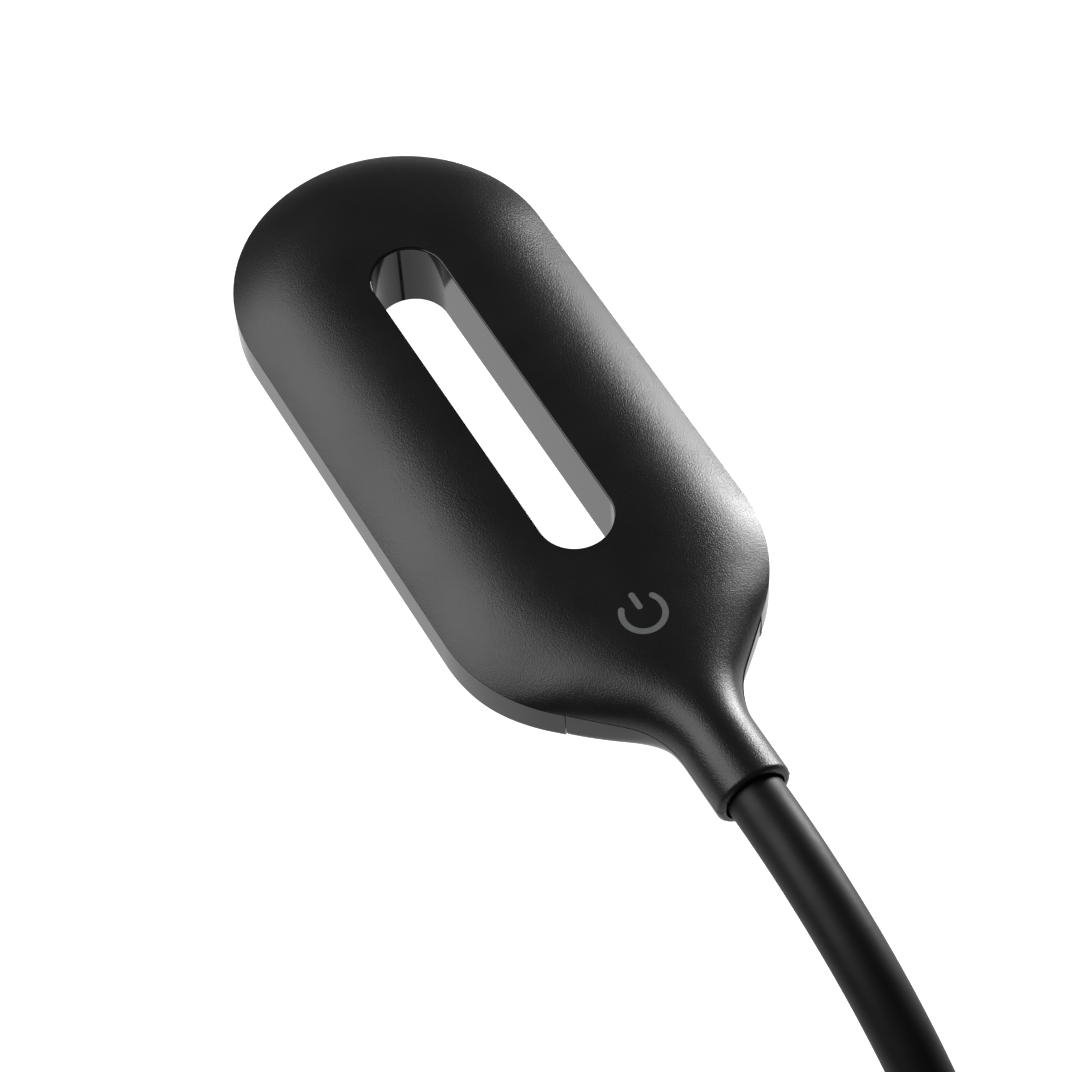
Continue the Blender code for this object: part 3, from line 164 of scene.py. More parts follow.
def open_loops(bm: bmesh.types.BMesh) -> list[list]:
    """Find the loops of open edges.

    Args:
        bm: The mesh.

    Returns:
        The loops as lists of edges, the one with the largest outline first.
    """
    left = dict.fromkeys(edge for edge in bm.edges if edge.is_boundary)
    loops = []
    while left:
        edge = next(iter(left))
        del left[edge]
        loop, front = [edge], list(edge.verts)
        while front:
            vert = front.pop()
            for other in vert.link_edges:
                if other in left:
                    del left[other]
                    loop.append(other)
                    front += list(other.verts)
        loops.append(loop)

    def reach(loop: list) -> float:
        """The loop's length and width, added."""
        xs = [v.co.x for e in loop for v in e.verts]
        ys = [v.co.y for e in loop for v in e.verts]
        return (max(xs) - min(xs)) + (max(ys) - min(ys))

    return sorted(loops, key=reach, reverse=True)


def edges_of(verts: Iterable) -> list:
    """The edges that touch some vertices, each once and in a fixed order."""
    return list(dict.fromkeys(e for v in verts for e in v.link_edges))


def cap_open(bm: bmesh.types.BMesh) -> None:
    """Close every open loop with one face."""
    for loop in open_loops(bm):
        bmesh.ops.contextual_create(bm, geom=loop)


def raise_faces(bm: bmesh.types.BMesh, faces: Iterable, offset: Sequence[float]) -> list:
    """Thicken faces into a closed solid.

    Args:
        bm: The mesh they are in.
        faces: The faces, which stay where they are.
        offset: From them to the solid's other side.

    Returns:
        The vertices of the other side.
    """
    raised = bmesh.ops.extrude_face_region(bm, geom=list(faces), use_keep_orig=True)["geom"]
    lifted = [v for v in raised if isinstance(v, bmesh.types.BMVert)]
    bmesh.ops.translate(bm, vec=offset, verts=lifted)
    return lifted


def round_edges(bm: bmesh.types.BMesh, edges: Iterable, radius: float, segments: int = 3) -> None:
    """Bevel edges to a round.

    Args:
        bm: The mesh they are in.
        edges: The edges.
        radius: The round's radius.
        segments: Steps in the round.
    """
    bmesh.ops.bevel(
        bm, geom=list(edges), offset=radius, segments=segments, profile=0.5, affect="EDGES", material=-1,
        clamp_overlap=True,
    )


def sharp_edges(bm: bmesh.types.BMesh, least: float = 40.0) -> list:
    """Edges whose two faces meet at more than an angle, in degrees."""
    limit = math.radians(least)
    return [e for e in bm.edges if len(e.link_faces) == 2 and e.calc_face_angle(0.0) > limit]


def box_into(bm: bmesh.types.BMesh, low: Sequence[float], high: Sequence[float], edge: float = 0.0,
             segments: int = 3) -> list:
    """Add a box between two corners.

    Args:
        bm: The mesh to add to.
        low: Lowest corner.
        high: Highest corner.
        edge: Rounding of its edges.
        segments: Steps in the rounding.

    Returns:
        The box's vertices.
    """
    low, high = Vector(low), Vector(high)
    made = bmesh.ops.create_cube(bm, size=1.0)["verts"]
    bmesh.ops.scale(bm, vec=high - low, verts=made)
    bmesh.ops.translate(bm, vec=(low + high) / 2, verts=made)
    if edge:
        rim = edges_of(made)
        rounded = bmesh.ops.bevel(
            bm, geom=rim, offset=edge, segments=segments, profile=0.5, affect="EDGES", material=-1
        )
        made = list(dict.fromkeys(v for f in rounded["faces"] for v in f.verts))
    return made


def lathe_into(bm: bmesh.types.BMesh, profile: Sequence[tuple[float, float]], steps: int,
               place: Matrix) -> list:
    """Turn a half section about the Z axis.

    Args:
        bm: The mesh to add to.
        profile: (radius, height) from one end to the other.
        steps: Sides of the turned piece.
        place: Where the piece goes.

    Returns:
        The new vertices.
    """
    before = set(bm.verts)
    verts = [bm.verts.new((r, 0.0, z)) for r, z in profile]
    edges = [bm.edges.new(pair) for pair in zip(verts, verts[1:])]
    bmesh.ops.spin(
        bm, geom=verts + edges, cent=(0, 0, 0), axis=(0, 0, 1), angle=TURN, steps=steps, use_merge=True
    )
    made = [v for v in bm.verts if v not in before]
    bmesh.ops.remove_doubles(bm, verts=made, dist=NEAR)
    made = [v for v in bm.verts if v not in before]
    bmesh.ops.transform(bm, matrix=place, verts=made)
    return made


def slab_into(bm: bmesh.types.BMesh, loop: Sequence[tuple[float, float]], low: float, high: float) -> list:
    """Raise a plan outline into a slab.

    Args:
        bm: The mesh to add to.
        loop: The outline.
        low: Height of its lower face.
        high: Height of its upper face.

    Returns:
        The slab's vertices.
    """
    face = bm.faces.new([bm.verts.new((x, y, low)) for x, y in loop])
    return list(face.verts) + raise_faces(bm, [face], (0, 0, high - low))


def rim_at(bm: bmesh.types.BMesh, level: float, verts: Iterable) -> list:
    """Find the edges that lie at one height.

    Args:
        bm: The mesh.
        level: The height.
        verts: The vertices to look among.

    Returns:
        The edges.
    """
    chosen = set(verts)
    return [
        e for e in bm.edges
        if all(v in chosen and abs(v.co.z - level) < NEAR for v in e.verts)
    ]


def strip_into(bm: bmesh.types.BMesh, loops: Sequence[Sequence[Vector]]) -> list:
    """Join closed loops of points, one after another, by a strip of faces.

    Args:
        bm: The mesh to add to.
        loops: The loops, each with the same number of points.

    Returns:
        The strip's vertices.
    """
    count = len(loops[0])
    made = mapped_grid(bm, len(loops) - 1, count, lambda i, j: loops[i][j % count].copy())
    bmesh.ops.remove_doubles(bm, verts=made, dist=NEAR)
    return [v for v in made if v.is_valid]


def circle_loops(steps: Sequence[tuple[float, float]], sides: int, place: Matrix) -> list[list[Vector]]:
    """Circles of the given radii and heights about Z, moved to a place.

    Args:
        steps: (radius, height) of each circle.
        sides: Points on each.
        place: Where they go.

    Returns:
        The loops.
    """
    turns = [TURN * i / sides for i in range(sides)]
    return [[place @ Vector((r * math.cos(a), r * math.sin(a), z)) for a in turns] for r, z in steps]


def pill_loops(steps: Sequence[tuple[float, float]], straight: float, place: Matrix) -> list[list[Vector]]:
    """Flat-sided rounds about X: each has a radius, a place along X and one straight length along Y.

    Args:
        steps: (radius, x) of each loop.
        straight: Length of the flat sides.
        place: Where they go.

    Returns:
        The loops.
    """
    loops = []
    for radius, x in steps:
        loop = []
        for side in (1, -1):
            for i in range(13):
                a = side * math.pi / 2 - i * math.pi / 12
                across = side * straight / 2 + radius * math.cos(a)
                loop.append(place @ Vector((x, across, radius * math.sin(a))))
        loops.append(loop)
    return loops


def open_face(bm: bmesh.types.BMesh, axis: int, level: float) -> None:
    """Take away the flat face that lies at one level along an axis."""
    gone = [f for f in bm.faces if all(abs(v.co[axis] - level) < 2 * NEAR for v in f.verts)]
    bmesh.ops.delete(bm, geom=gone, context="FACES_ONLY")


def fill_level(bm: bmesh.types.BMesh, axis: int, level: float) -> None:
    """Fill between the open loops that lie at one level, leaving the inner ones as holes."""
    rim = [e for e in bm.edges if e.is_boundary and all(abs(v.co[axis] - level) < 2 * NEAR for v in e.verts)]
    bmesh.ops.triangle_fill(bm, use_beauty=True, use_dissolve=False, edges=rim)


def profile_into(bm: bmesh.types.BMesh, outline: Sequence[tuple[float, float]], low: float, high: float,
                 edge: float = 0.0, segments: int = 2) -> list:
    """Extrude an outline drawn in X and Z along Y.

    Args:
        bm: The mesh to add to.
        outline: Its (x, z) points.
        low: Lowest y.
        high: Highest y.
        edge: Rounding of its edges.
        segments: Steps in the rounding.

    Returns:
        The new vertices.
    """
    before = set(bm.verts)
    face = bm.faces.new([bm.verts.new((x, low, z)) for x, z in outline])
    raise_faces(bm, [face], (0, high - low, 0))
    made = [v for v in bm.verts if v not in before]
    if edge:
        rim = [e for e in edges_of(made) if e.calc_face_angle(0.0) > math.radians(30)]
        round_edges(bm, rim, edge, segments)
        made = [v for v in bm.verts if v not in before]
    return made


def dome_points(radius: float, level: float, height: float) -> list[tuple[float, float]]:
    """(radius, height) points of a domed end, from its foot at a level to its tip."""
    turns = [math.pi / 16 * i for i in range(8)]
    return [(radius * math.cos(a), level + height * math.sin(a)) for a in turns] + [(0.0, level + height)]


def box_middle(node: str) -> Vector:
    """The middle of a node's box."""
    low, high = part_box(node)
    return (low + high) / 2


def arc_points(x: float, z: float, radius: float, start: float, end: float,
               count: int) -> list[tuple[float, float]]:
    """Points on an arc, with its angles in degrees."""
    turns = [math.radians(start + (end - start) * i / count) for i in range(count + 1)]
    return [(x + radius * math.cos(a), z + radius * math.sin(a)) for a in turns]


# ---- finishes ------------------------------------------------------------------------------------
class Tree:
    """A material's node tree, with short ways to add and join nodes."""

    def __init__(self, name: str) -> None:
        """Start a material with a bare Principled shader.

        Args:
            name: The material's name.
        """
        self.material = bpy.data.materials.new(name)
        self.material.use_nodes = True
        self.nodes = self.material.node_tree.nodes
        self.links = self.material.node_tree.links
        self.shader = self.nodes["Principled BSDF"]

    def add(self, kind: str, settings: dict | None = None, **inputs: object) -> bpy.types.Node:
        """Add a node.

        Args:
            kind: Its type, without the ShaderNode prefix.
            settings: Properties to set on the node.
            **inputs: Values or sockets for its inputs, with _ for a space in a name.

        Returns:
            The node.
        """
        node = self.nodes.new("ShaderNode" + kind)
        for key, value in (settings or {}).items():
            setattr(node, key, value)
        self.feed(node, inputs)
        return node

    def feed(self, node: bpy.types.Node, inputs: dict[str, object]) -> None:
        """Set or link a node's inputs.

        Args:
            node: The node.
            inputs: Values or sockets for its inputs, with _ for a space in a name.
        """
        for key, value in inputs.items():
            socket = node.inputs[key.replace("_", " ")]
            if isinstance(value, bpy.types.NodeSocket):
                self.links.new(value, socket)
            else:
                socket.default_value = value

    def place(self) -> bpy.types.NodeSocket:
        """The point on the object, in metres."""
        return self.add("TexCoord").outputs["Object"]

    def noise(self, scale: float, detail: float = 3.0, roughness: float = 0.5,
              stretch: tuple[float, float, float] | None = None) -> bpy.types.NodeSocket:
        """Noise over the object.

        Args:
            scale: Features per metre.
            detail: Octaves.
            roughness: Strength of the finer octaves.
            stretch: Scale along each axis, for grain with a direction.

        Returns:
            The noise factor's socket.
        """
        vector = self.place()
        if stretch:
            vector = self.add("Mapping", Vector=vector, Scale=stretch).outputs["Vector"]
        node = self.add("TexNoise", Vector=vector, Scale=scale, Detail=detail, Roughness=roughness)
        return node.outputs["Fac"]

    def mottle(self, tone: float, low: float, high: float, scale: float,
               detail: float = 3.0) -> bpy.types.NodeSocket:
        """A neutral tone, mottled by noise between two shares of itself."""
        return self.ramp(self.noise(scale, detail), (tone * low,) * 3, (tone * high,) * 3)

    def cells(self, scale: float) -> bpy.types.NodeSocket:
        """Distance to the nearest of a scatter of points over the object."""
        return self.add("TexVoronoi", Vector=self.place(), Scale=scale).outputs["Distance"]

    def spread(self, value: bpy.types.NodeSocket, low: float, high: float) -> bpy.types.NodeSocket:
        """Map a factor's middle range to new limits.

        Args:
            value: The factor.
            low: Result at 0.3.
            high: Result at 0.7.

        Returns:
            The mapped socket.
        """
        node = self.add("MapRange", Value=value, From_Min=0.3, From_Max=0.7, To_Min=low, To_Max=high)
        return node.outputs["Result"]

    def ramp(self, value: bpy.types.NodeSocket, low: tuple, high: tuple, start: float = 0.35,
             end: float = 0.65) -> bpy.types.NodeSocket:
        """Turn a factor into a colour between two colours.

        Args:
            value: The factor.
            low: Colour at the start.
            high: Colour at the end.
            start: Factor up to which the first colour holds.
            end: Factor from which the second colour holds.

        Returns:
            The colour's socket.
        """
        node = self.add("ValToRGB", Fac=value)
        points = node.color_ramp.elements
        points[0].position, points[1].position = start, end
        points[0].color, points[1].color = (*low, 1.0), (*high, 1.0)
        return node.outputs["Color"]

    def bump(self, height: bpy.types.NodeSocket, distance: float, strength: float = 1.0,
             under: bpy.types.NodeSocket | None = None) -> bpy.types.NodeSocket:
        """Tilt the surface by a height field.

        Args:
            height: The height factor.
            distance: Height of a factor of 1, in metres.
            strength: Share of the tilt to keep.
            under: Another bump's normal to build on.

        Returns:
            The normal's socket.
        """
        node = self.add("Bump", Height=height, Strength=strength, Distance=distance)
        if under:
            self.links.new(under, node.inputs["Normal"])
        return node.outputs["Normal"]

    def finish(self, **inputs: object) -> bpy.types.Material:
        """Set the shader's inputs.

        Args:
            **inputs: Values or sockets, with _ for a space in an input's name.

        Returns:
            The material.
        """
        self.feed(self.shader, inputs)
        return self.material


@dataclass(frozen=True)
class SparkErodedPlastic:
    """Matt black shell plastic with the fine grain of a spark-eroded mould."""

    tone: float = 0.0065
    grain: float = 4000.0
    depth: float = 0.05 * MM

    def build(self) -> bpy.types.Material:
        """Make the material.

        Returns:
            The material.
        """
        tree = Tree("spark_eroded_plastic")
        fine = tree.noise(self.grain, 1.0, 0.5)
        coarse = tree.noise(self.grain / 3.2, 2.0, 0.5)
        normal = tree.bump(fine, self.depth, 1.0, tree.bump(coarse, self.depth, 0.15))
        tone = tree.mottle(self.tone, 0.85, 1.2, 60.0)
        rough = tree.spread(tree.noise(90.0, 4.0), 0.30, 0.36)
        return tree.finish(Base_Color=tone, Roughness=rough, Normal=normal, IOR=1.5)


@dataclass(frozen=True)
class PolishedPlastic:
    """Glossy black plastic from a polished mould, with faint flow waviness."""

    tone: float = 0.006

    def build(self) -> bpy.types.Material:
        """Make the material.

        Returns:
            The material.
        """
        tree = Tree("polished_plastic")
        normal = tree.bump(tree.noise(140.0, 2.0), 0.006 * MM, 0.5)
        tone = tree.mottle(self.tone, 0.8, 1.3, 45.0)
        rough = tree.spread(tree.noise(320.0, 5.0, 0.6), 0.10, 0.15)
        return tree.finish(Base_Color=tone, Roughness=rough, Normal=normal, IOR=1.5)


@dataclass(frozen=True)
class SatinSilicone:
    """The gooseneck's smooth satin sleeve, with dust-fine mottling."""

    tone: float = 0.0050

    def build(self) -> bpy.types.Material:
        """Make the material.

        Returns:
            The material.
        """
        tree = Tree("satin_silicone")
        swell = tree.bump(tree.noise(160.0, 2.0), 0.03 * MM, 0.4)
        normal = tree.bump(tree.noise(1800.0, 3.0), 0.006 * MM, 0.6, swell)
        tone = tree.mottle(self.tone, 0.8, 1.35, 110.0, 4.0)
        rough = tree.spread(tree.noise(240.0, 4.0), 0.44, 0.53)
        return tree.finish(Base_Color=tone, Roughness=rough, Normal=normal, IOR=1.36)


@dataclass(frozen=True)
class GripRubber:
    """Dull dark rubber of the jaw pads, scuffed lighter in patches."""

    def build(self) -> bpy.types.Material:
        """Make the material.

        Returns:
            The material.
        """
        tree = Tree("grip_rubber")
        normal = tree.bump(tree.noise(900.0, 4.0), 0.03 * MM, 0.8)
        tone = tree.ramp(tree.noise(170.0, 5.0), (0.016, 0.016, 0.017), (0.034, 0.034, 0.035))
        rough = tree.spread(tree.noise(260.0), 0.72, 0.88)
        return tree.finish(Base_Color=tone, Roughness=rough, Normal=normal)


@dataclass(frozen=True)
class OpalSheet:
    """Milky diffuser sheet with a fine pebbled face."""

    def build(self) -> bpy.types.Material:
        """Make the material.

        Returns:
            The material.
        """
        tree = Tree("opal_sheet")
        normal = tree.bump(tree.cells(1400.0), 0.02 * MM, 0.5)
        tone = tree.ramp(tree.noise(40.0), (0.80, 0.80, 0.78), (0.86, 0.86, 0.84))
        rough = tree.spread(tree.noise(300.0), 0.34, 0.42)
        return tree.finish(Base_Color=tone, Roughness=rough, Normal=normal, Subsurface_Weight=0.25,
                           Subsurface_Scale=0.002)


@dataclass(frozen=True)
class PrintInk:
    """Grey screen-printed ink, slightly uneven over the grain below it."""

    def build(self) -> bpy.types.Material:
        """Make the material.

        Returns:
            The material.
        """
        tree = Tree("print_ink")
        normal = tree.bump(tree.noise(2600.0, 2.0), 0.008 * MM, 0.7)
        tone = tree.ramp(tree.noise(900.0, 3.0), (0.155, 0.160, 0.162), (0.180, 0.185, 0.187))
        rough = tree.spread(tree.noise(700.0), 0.50, 0.62)
        return tree.finish(Base_Color=tone, Roughness=rough, Normal=normal)


@dataclass(frozen=True)
class Metal:
    """Bare metal with drawing or turning marks."""

    name: str
    colour: tuple[float, float, float]
    rough: tuple[float, float] = (0.22, 0.38)
    stretch: tuple[float, float, float] = (1.0, 1.0, 6.0)

    def build(self) -> bpy.types.Material:
        """Make the material.

        Returns:
            The material.
        """
        tree = Tree(self.name)
        marks = tree.noise(900.0, 4.0, 0.6, self.stretch)
        dark = tuple(c * 0.82 for c in self.colour)
        tone = tree.ramp(tree.noise(220.0, 4.0), dark, self.colour)
        rough = tree.spread(marks, *self.rough)
        normal = tree.bump(marks, 0.004 * MM, 0.6)
        return tree.finish(Base_Color=tone, Roughness=rough, Metallic=1.0, Normal=normal)


@dataclass(frozen=True)
class SolderMask:
    """A circuit board's lacquer over faint copper tracks."""

    name: str
    low: tuple[float, float, float]
    high: tuple[float, float, float]

    def build(self) -> bpy.types.Material:
        """Make the material.

        Returns:
            The material.
        """
        tree = Tree(self.name)
        tracks = tree.add("TexBrick", {"offset": 0.35}, Vector=tree.place(), Scale=260.0, Mortar_Size=0.06)
        tone = tree.ramp(tracks.outputs["Fac"], self.low, self.high, 0.2, 0.8)
        rough = tree.spread(tree.noise(400.0), 0.28, 0.42)
        normal = tree.bump(tracks.outputs["Fac"], 0.02 * MM, 0.5)
        return tree.finish(Base_Color=tone, Roughness=rough, Normal=normal)


@dataclass(frozen=True)
class FoilPouch:
    """The cell's crinkled foil wrap."""

    def build(self) -> bpy.types.Material:
        """Make the material.

        Returns:
            The material.
        """
        tree = Tree("foil_pouch")
        crinkle = tree.noise(260.0, 5.0, 0.6)
        tone = tree.ramp(crinkle, (0.38, 0.39, 0.41), (0.55, 0.56, 0.58))
        return tree.finish(Base_Color=tone, Metallic=0.7, Roughness=tree.spread(crinkle, 0.28, 0.42),
                           Normal=tree.bump(crinkle, 0.12 * MM, 0.7))


@dataclass(frozen=True)
class WireSleeve:
    """Soft PVC insulation on a lead."""

    def build(self) -> bpy.types.Material:
        """Make the material.

        Returns:
            The material.
        """
        tree = Tree("wire_sleeve")
        tone = tree.ramp(tree.noise(500.0, 3.0), (0.34, 0.018, 0.016), (0.48, 0.030, 0.026))
        rough = tree.spread(tree.noise(380.0), 0.34, 0.46)
        normal = tree.bump(tree.noise(1500.0), 0.01 * MM, 0.5)
        return tree.finish(Base_Color=tone, Roughness=rough, Normal=normal)


@dataclass(frozen=True)
class ClearAcrylic:
    """Clear light pipe with a slightly frosted tip."""

    def build(self) -> bpy.types.Material:
        """Make the material.

        Returns:
            The material.
        """
        tree = Tree("clear_acrylic")
        rough = tree.spread(tree.noise(1200.0, 3.0), 0.08, 0.22)
        tone = tree.ramp(tree.noise(300.0), (0.84, 0.86, 0.88), (0.92, 0.93, 0.94))
        return tree.finish(Base_Color=tone, Roughness=rough, Transmission_Weight=0.85, IOR=1.49,
                           Normal=tree.bump(tree.noise(900.0), 0.01 * MM, 0.5))


class Look(Enum):
    """The lamp's finishes."""

    MATT = SparkErodedPlastic()
    GLOSS = PolishedPlastic()
    SILICONE = SatinSilicone()
    RUBBER = GripRubber()
    OPAL = OpalSheet()
    INK = PrintInk()
    STEEL = Metal("drawn_steel", (0.56, 0.57, 0.58))
    BRASS = Metal("turned_brass", (0.72, 0.54, 0.28), (0.18, 0.32))
    GOLD = Metal("gold_plate", (0.85, 0.66, 0.32), (0.15, 0.25))
    BOARD_WHITE = SolderMask("white_mask", (0.62, 0.62, 0.59), (0.74, 0.74, 0.71))
    BOARD_GREEN = SolderMask("green_mask", (0.016, 0.10, 0.045), (0.03, 0.16, 0.07))
    FOIL = FoilPouch()
    WIRE = WireSleeve()
    CLEAR = ClearAcrylic()


class Workshop:
    """Makes finished pieces and keeps one material for each look."""

    def __init__(self) -> None:
        """Start with no materials and no pieces."""
        self.made: dict[Look, bpy.types.Material] = {}
        self.pieces: list[bpy.types.Object] = []

    def material(self, look: Look) -> bpy.types.Material:
        """The material of a look, made on first use.

        Args:
            look: The finish.

        Returns:
            Its material.
        """
        if look not in self.made:
            self.made[look] = look.value.build()
        return self.made[look]

    def piece(self, name: str, bm: bmesh.types.BMesh, look: Look, sharp: float = 40.0) -> bpy.types.Object:
        """Turn a finished bmesh into a piece of the lamp.

        Args:
            name: The piece's name.
            bm: Its mesh, which is used up.
            look: Its finish.
            sharp: Faces that meet at more than this angle, in degrees, keep a crisp edge.

        Returns:
            The object.
        """
        bmesh.ops.recalc_face_normals(bm, faces=bm.faces)
        mesh = bpy.data.meshes.new(name)
        bm.to_mesh(mesh)
        bm.free()
        mesh.materials.append(self.material(look))
        mesh.shade_smooth()
        mesh.set_sharp_from_angle(angle=math.radians(sharp))
        made = bpy.data.objects.new(name, mesh)
        bpy.context.scene.collection.objects.link(made)
        self.pieces.append(made)
        return made

    def mount(self, name: str, bm: bmesh.types.BMesh, look: Look, place: tuple[str, str], *nodes: str,
              sharp: float = 40.0, even: bool = False) -> None:
        """Make a piece and mount it on a body in place of the nodes it stands for.

        Args:
            name: The piece's name.
            bm: Its mesh, which is used up.
            look: Its finish.
            place: The body it rides on, and the record's material slot, which is not used.
            *nodes: The nodes it stands for.
            sharp: Faces that meet at more than this angle, in degrees, keep a crisp edge.
            even: Whether to weight its shading by face size, so that a narrow round doesn't darken the broad
                face beside it.
        """
        made = self.piece(name, bm, look, sharp)
        if even:
            step = made.modifiers.new("even_normals", "WEIGHTED_NORMAL")
            step.keep_sharp = True
            step.weight = 60
        body, slot = place
        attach(made, body)
        if nodes:
            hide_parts(*nodes)


# ---- head ----------------------------------------------------------------------------------------
@dataclass
class HeadForm:
    """The head's outline and surfaces, from the slot's near centre on the parting plane."""

    origin: Vector
    half_width: float = 30.0 * MM
    wall: float = 1.35 * MM
    slot_half: float = 6.95 * MM
    slot_length: float = 60.0 * MM
    slot_step: float = 0.2 * MM
    far_extra: float = 5.6 * MM
    shoulder_start: float = 6.9 * MM
    shoulder_radius: float = 30.0 * MM
    shoulder_turn: float = math.radians(46.2)
    fillet_radius: float = 15.5 * MM
    neck_radius: float = 7.05 * MM
    collar_length: float = 11.3 * MM
    collar_edge: float = 1.0 * MM
    rise: float = 7.75 * MM
    dome_power: float = 2.5
    depth: float = 7.75 * MM
    crest_blend: float = 25.0 * MM
    neck_blend: float = 20.0 * MM
    cover_front: float = 29.85 * MM
    cover_squareness: float = 13.0
    belly_start: float = 15.0 * MM
    belly_lift: float = 0.45 * MM
    seam: float = 0.13 * MM
    flank_end: float = field(init=False)
    neck_start: float = field(init=False)
    collar_end: float = field(init=False)

    def __post_init__(self) -> None:
        """Work out where the flank, the fillet and the collar end."""
        x, y = self.shoulder_end()
        fall = y - self.neck_radius - self.fillet_radius * (1 - math.cos(self.shoulder_turn))
        self.flank_end = x + fall / math.tan(self.shoulder_turn)
        self.neck_start = self.flank_end + self.fillet_radius * math.sin(self.shoulder_turn)
        self.collar_end = self.neck_start + self.collar_length

    @property
    def lip(self) -> float:
        """Half width of the upper shell's opening round the slot."""
        return self.slot_half + self.slot_step

    def shoulder_end(self) -> tuple[float, float]:
        """Where the shoulder's arc runs into the slanting flank."""
        x = self.shoulder_start + self.shoulder_radius * math.sin(self.shoulder_turn)
        return x, self.half_width - self.shoulder_radius * (1 - math.cos(self.shoulder_turn))

    def outline(self, x: float) -> tuple[float, float]:
        """Half width at x, and how far the outline has turned from the axis there.

        Args:
            x: Distance past the slot's near centre.

        Returns:
            The half width and the turn.
        """
        flank_start, y = self.shoulder_end()
        if x <= self.shoulder_start:
            return self.half_width, 0.0
        if x <= flank_start:
            turn = math.asin((x - self.shoulder_start) / self.shoulder_radius)
            return self.half_width - self.shoulder_radius * (1 - math.cos(turn)), turn
        if x <= self.flank_end:
            return y - (x - flank_start) * math.tan(self.shoulder_turn), self.shoulder_turn
        if x <= self.neck_start:
            turn = math.asin((self.neck_start - x) / self.fillet_radius)
            return self.neck_radius + self.fillet_radius * (1 - math.cos(turn)), turn
        past = x - (self.collar_end - self.collar_edge)
        if past <= 0:
            return self.neck_radius, 0.0
        return self.neck_radius - self.collar_edge + math.sqrt(max(self.collar_edge**2 - past**2, 0.0)), 0.0

    def edge(self, x: float, inset: float) -> tuple[float, float]:
        """A point on the outline, moved inwards square to it.

        Args:
            x: Distance past the slot's near centre.
            inset: How far to move inwards.

        Returns:
            The point.
        """
        width, turn = self.outline(x)
        if x > self.neck_start:
            return x, (self.neck_radius if inset else width) - inset
        return x - inset * math.sin(turn), width - inset * math.cos(turn)

    def far_edge(self, angle: float, inset: float) -> tuple[float, float]:
        """Where a ray from the slot's far centre meets the outline, moved inwards.

        Args:
            angle: The ray's direction.
            inset: How far the outline is moved inwards.

        Returns:
            The point.
        """
        radius = self.half_width - inset
        along, across = math.cos(angle), math.sin(angle)
        reach = -self.far_extra * along + math.sqrt(radius**2 - (self.far_extra * across) ** 2)
        if reach * along > -self.far_extra:
            reach = radius / across
        return -self.slot_length + reach * along, reach * across

    def dome(self, x: float) -> tuple[float, float, float]:
        """The upper shell's section.

        Args:
            x: Distance past the slot's near centre.

        Returns:
            The crest's height and the section's two powers.
        """
        k = ease((x - self.neck_blend) / (self.neck_start - self.neck_blend))
        crest = self.rise + (self.neck_radius - self.rise) * k
        return crest, self.dome_power + (2.0 - self.dome_power) * k, 1.0 + k

    def keel(self, x: float) -> tuple[float, float, float]:
        """The lower neck cover's section.

        Args:
            x: Distance past the slot's near centre.

        Returns:
            The keel's depth and the section's two powers.
        """
        k = ease((x - self.cover_front) / (self.neck_start - 3 * MM - self.cover_front))
        power = self.cover_squareness * (2.0 / self.cover_squareness) ** k
        start = self.depth - self.belly_lift
        return start + (self.neck_radius - start) * k, power, power

    def belly(self, x: float) -> float:
        """How far the ring's lower edge has started to round up towards the neck at x, 0 to 1."""
        return ease((x - self.belly_start) / (self.cover_front - self.belly_start))

    def flat_half(self, x: float) -> float:
        """Half width of the level crest at x."""
        return self.lip * (1 - ease(x / self.crest_blend))

    def height(self, shape: Callable[[float], tuple[float, float, float]], share: float, x: float,
               inset: float) -> float:
        """Height of a section.

        Args:
            shape: Gives the section's crest and powers.
            share: How far from the crest to the edge, 0 to 1.
            x: Place along the head.
            inset: How far the surface is moved inwards.

        Returns:
            The height over the parting plane.
        """
        crest, power, root = shape(x)
        if x > self.collar_end - self.collar_edge and not inset:
            crest = self.outline(x)[0]
        return (crest - inset) * max(1 - share**power, 0.0) ** (1 / root)

    def top_at(self, x: float, y: float) -> float:
        """Height of the upper shell between the slot and the collar.

        Args:
            x: Distance past the slot's near centre.
            y: Distance from the middle.

        Returns:
            The height over the parting plane.
        """
        width, _ = self.outline(x)
        flat = self.flat_half(x)
        return self.height(self.dome, min(max((abs(y) - flat) / (width - flat), 0.0), 1.0), x, 0.0)

    def stations(self, start: float | None = None, end: float | None = None) -> list[tuple[str, float]]:
        """The sections of a head surface, in order from its far end.

        Args:
            start: First x, or None to go round the far end.
            end: Last x, or None for the collar's end.

        Returns:
            ("arc", angle) round the far end and ("body", x) after it.
        """
        end = self.collar_end if end is None else end
        marks = [-self.slot_length * (1 - i / 10) for i in range(10)]
        marks += [self.lip * math.sin(i * math.pi / 32) for i in range(17)]
        reach = self.neck_start - self.lip
        marks += [self.lip + reach * i / 44 for i in range(1, 45)]
        marks += [self.neck_start + (self.collar_length - self.collar_edge) * i / 8 for i in range(1, 9)]
        marks += [self.collar_end - self.collar_edge * (1 - math.sin(i * math.pi / 16)) for i in range(1, 9)]
        chosen = [x for x in marks if x < end - 0.05 * MM and (start is None or x > start + 0.05 * MM)]
        body = [("body", x) for x in ([] if start is None else [start]) + chosen + [end]]
        arc = [("arc", math.pi - i * math.pi / 56) for i in range(28)] if start is None else []
        return arc + body

    def rim(self, station: tuple[str, float], inset: float) -> Vector:
        """The outline's point at a station, on the parting plane.

        Args:
            station: The section.
            inset: How far the point is moved inwards.

        Returns:
            The point.
        """
        kind, value = station
        x, y = self.far_edge(value, inset) if kind == "arc" else self.edge(value, inset)
        return Vector((x, max(y, 0.0), 0.0))

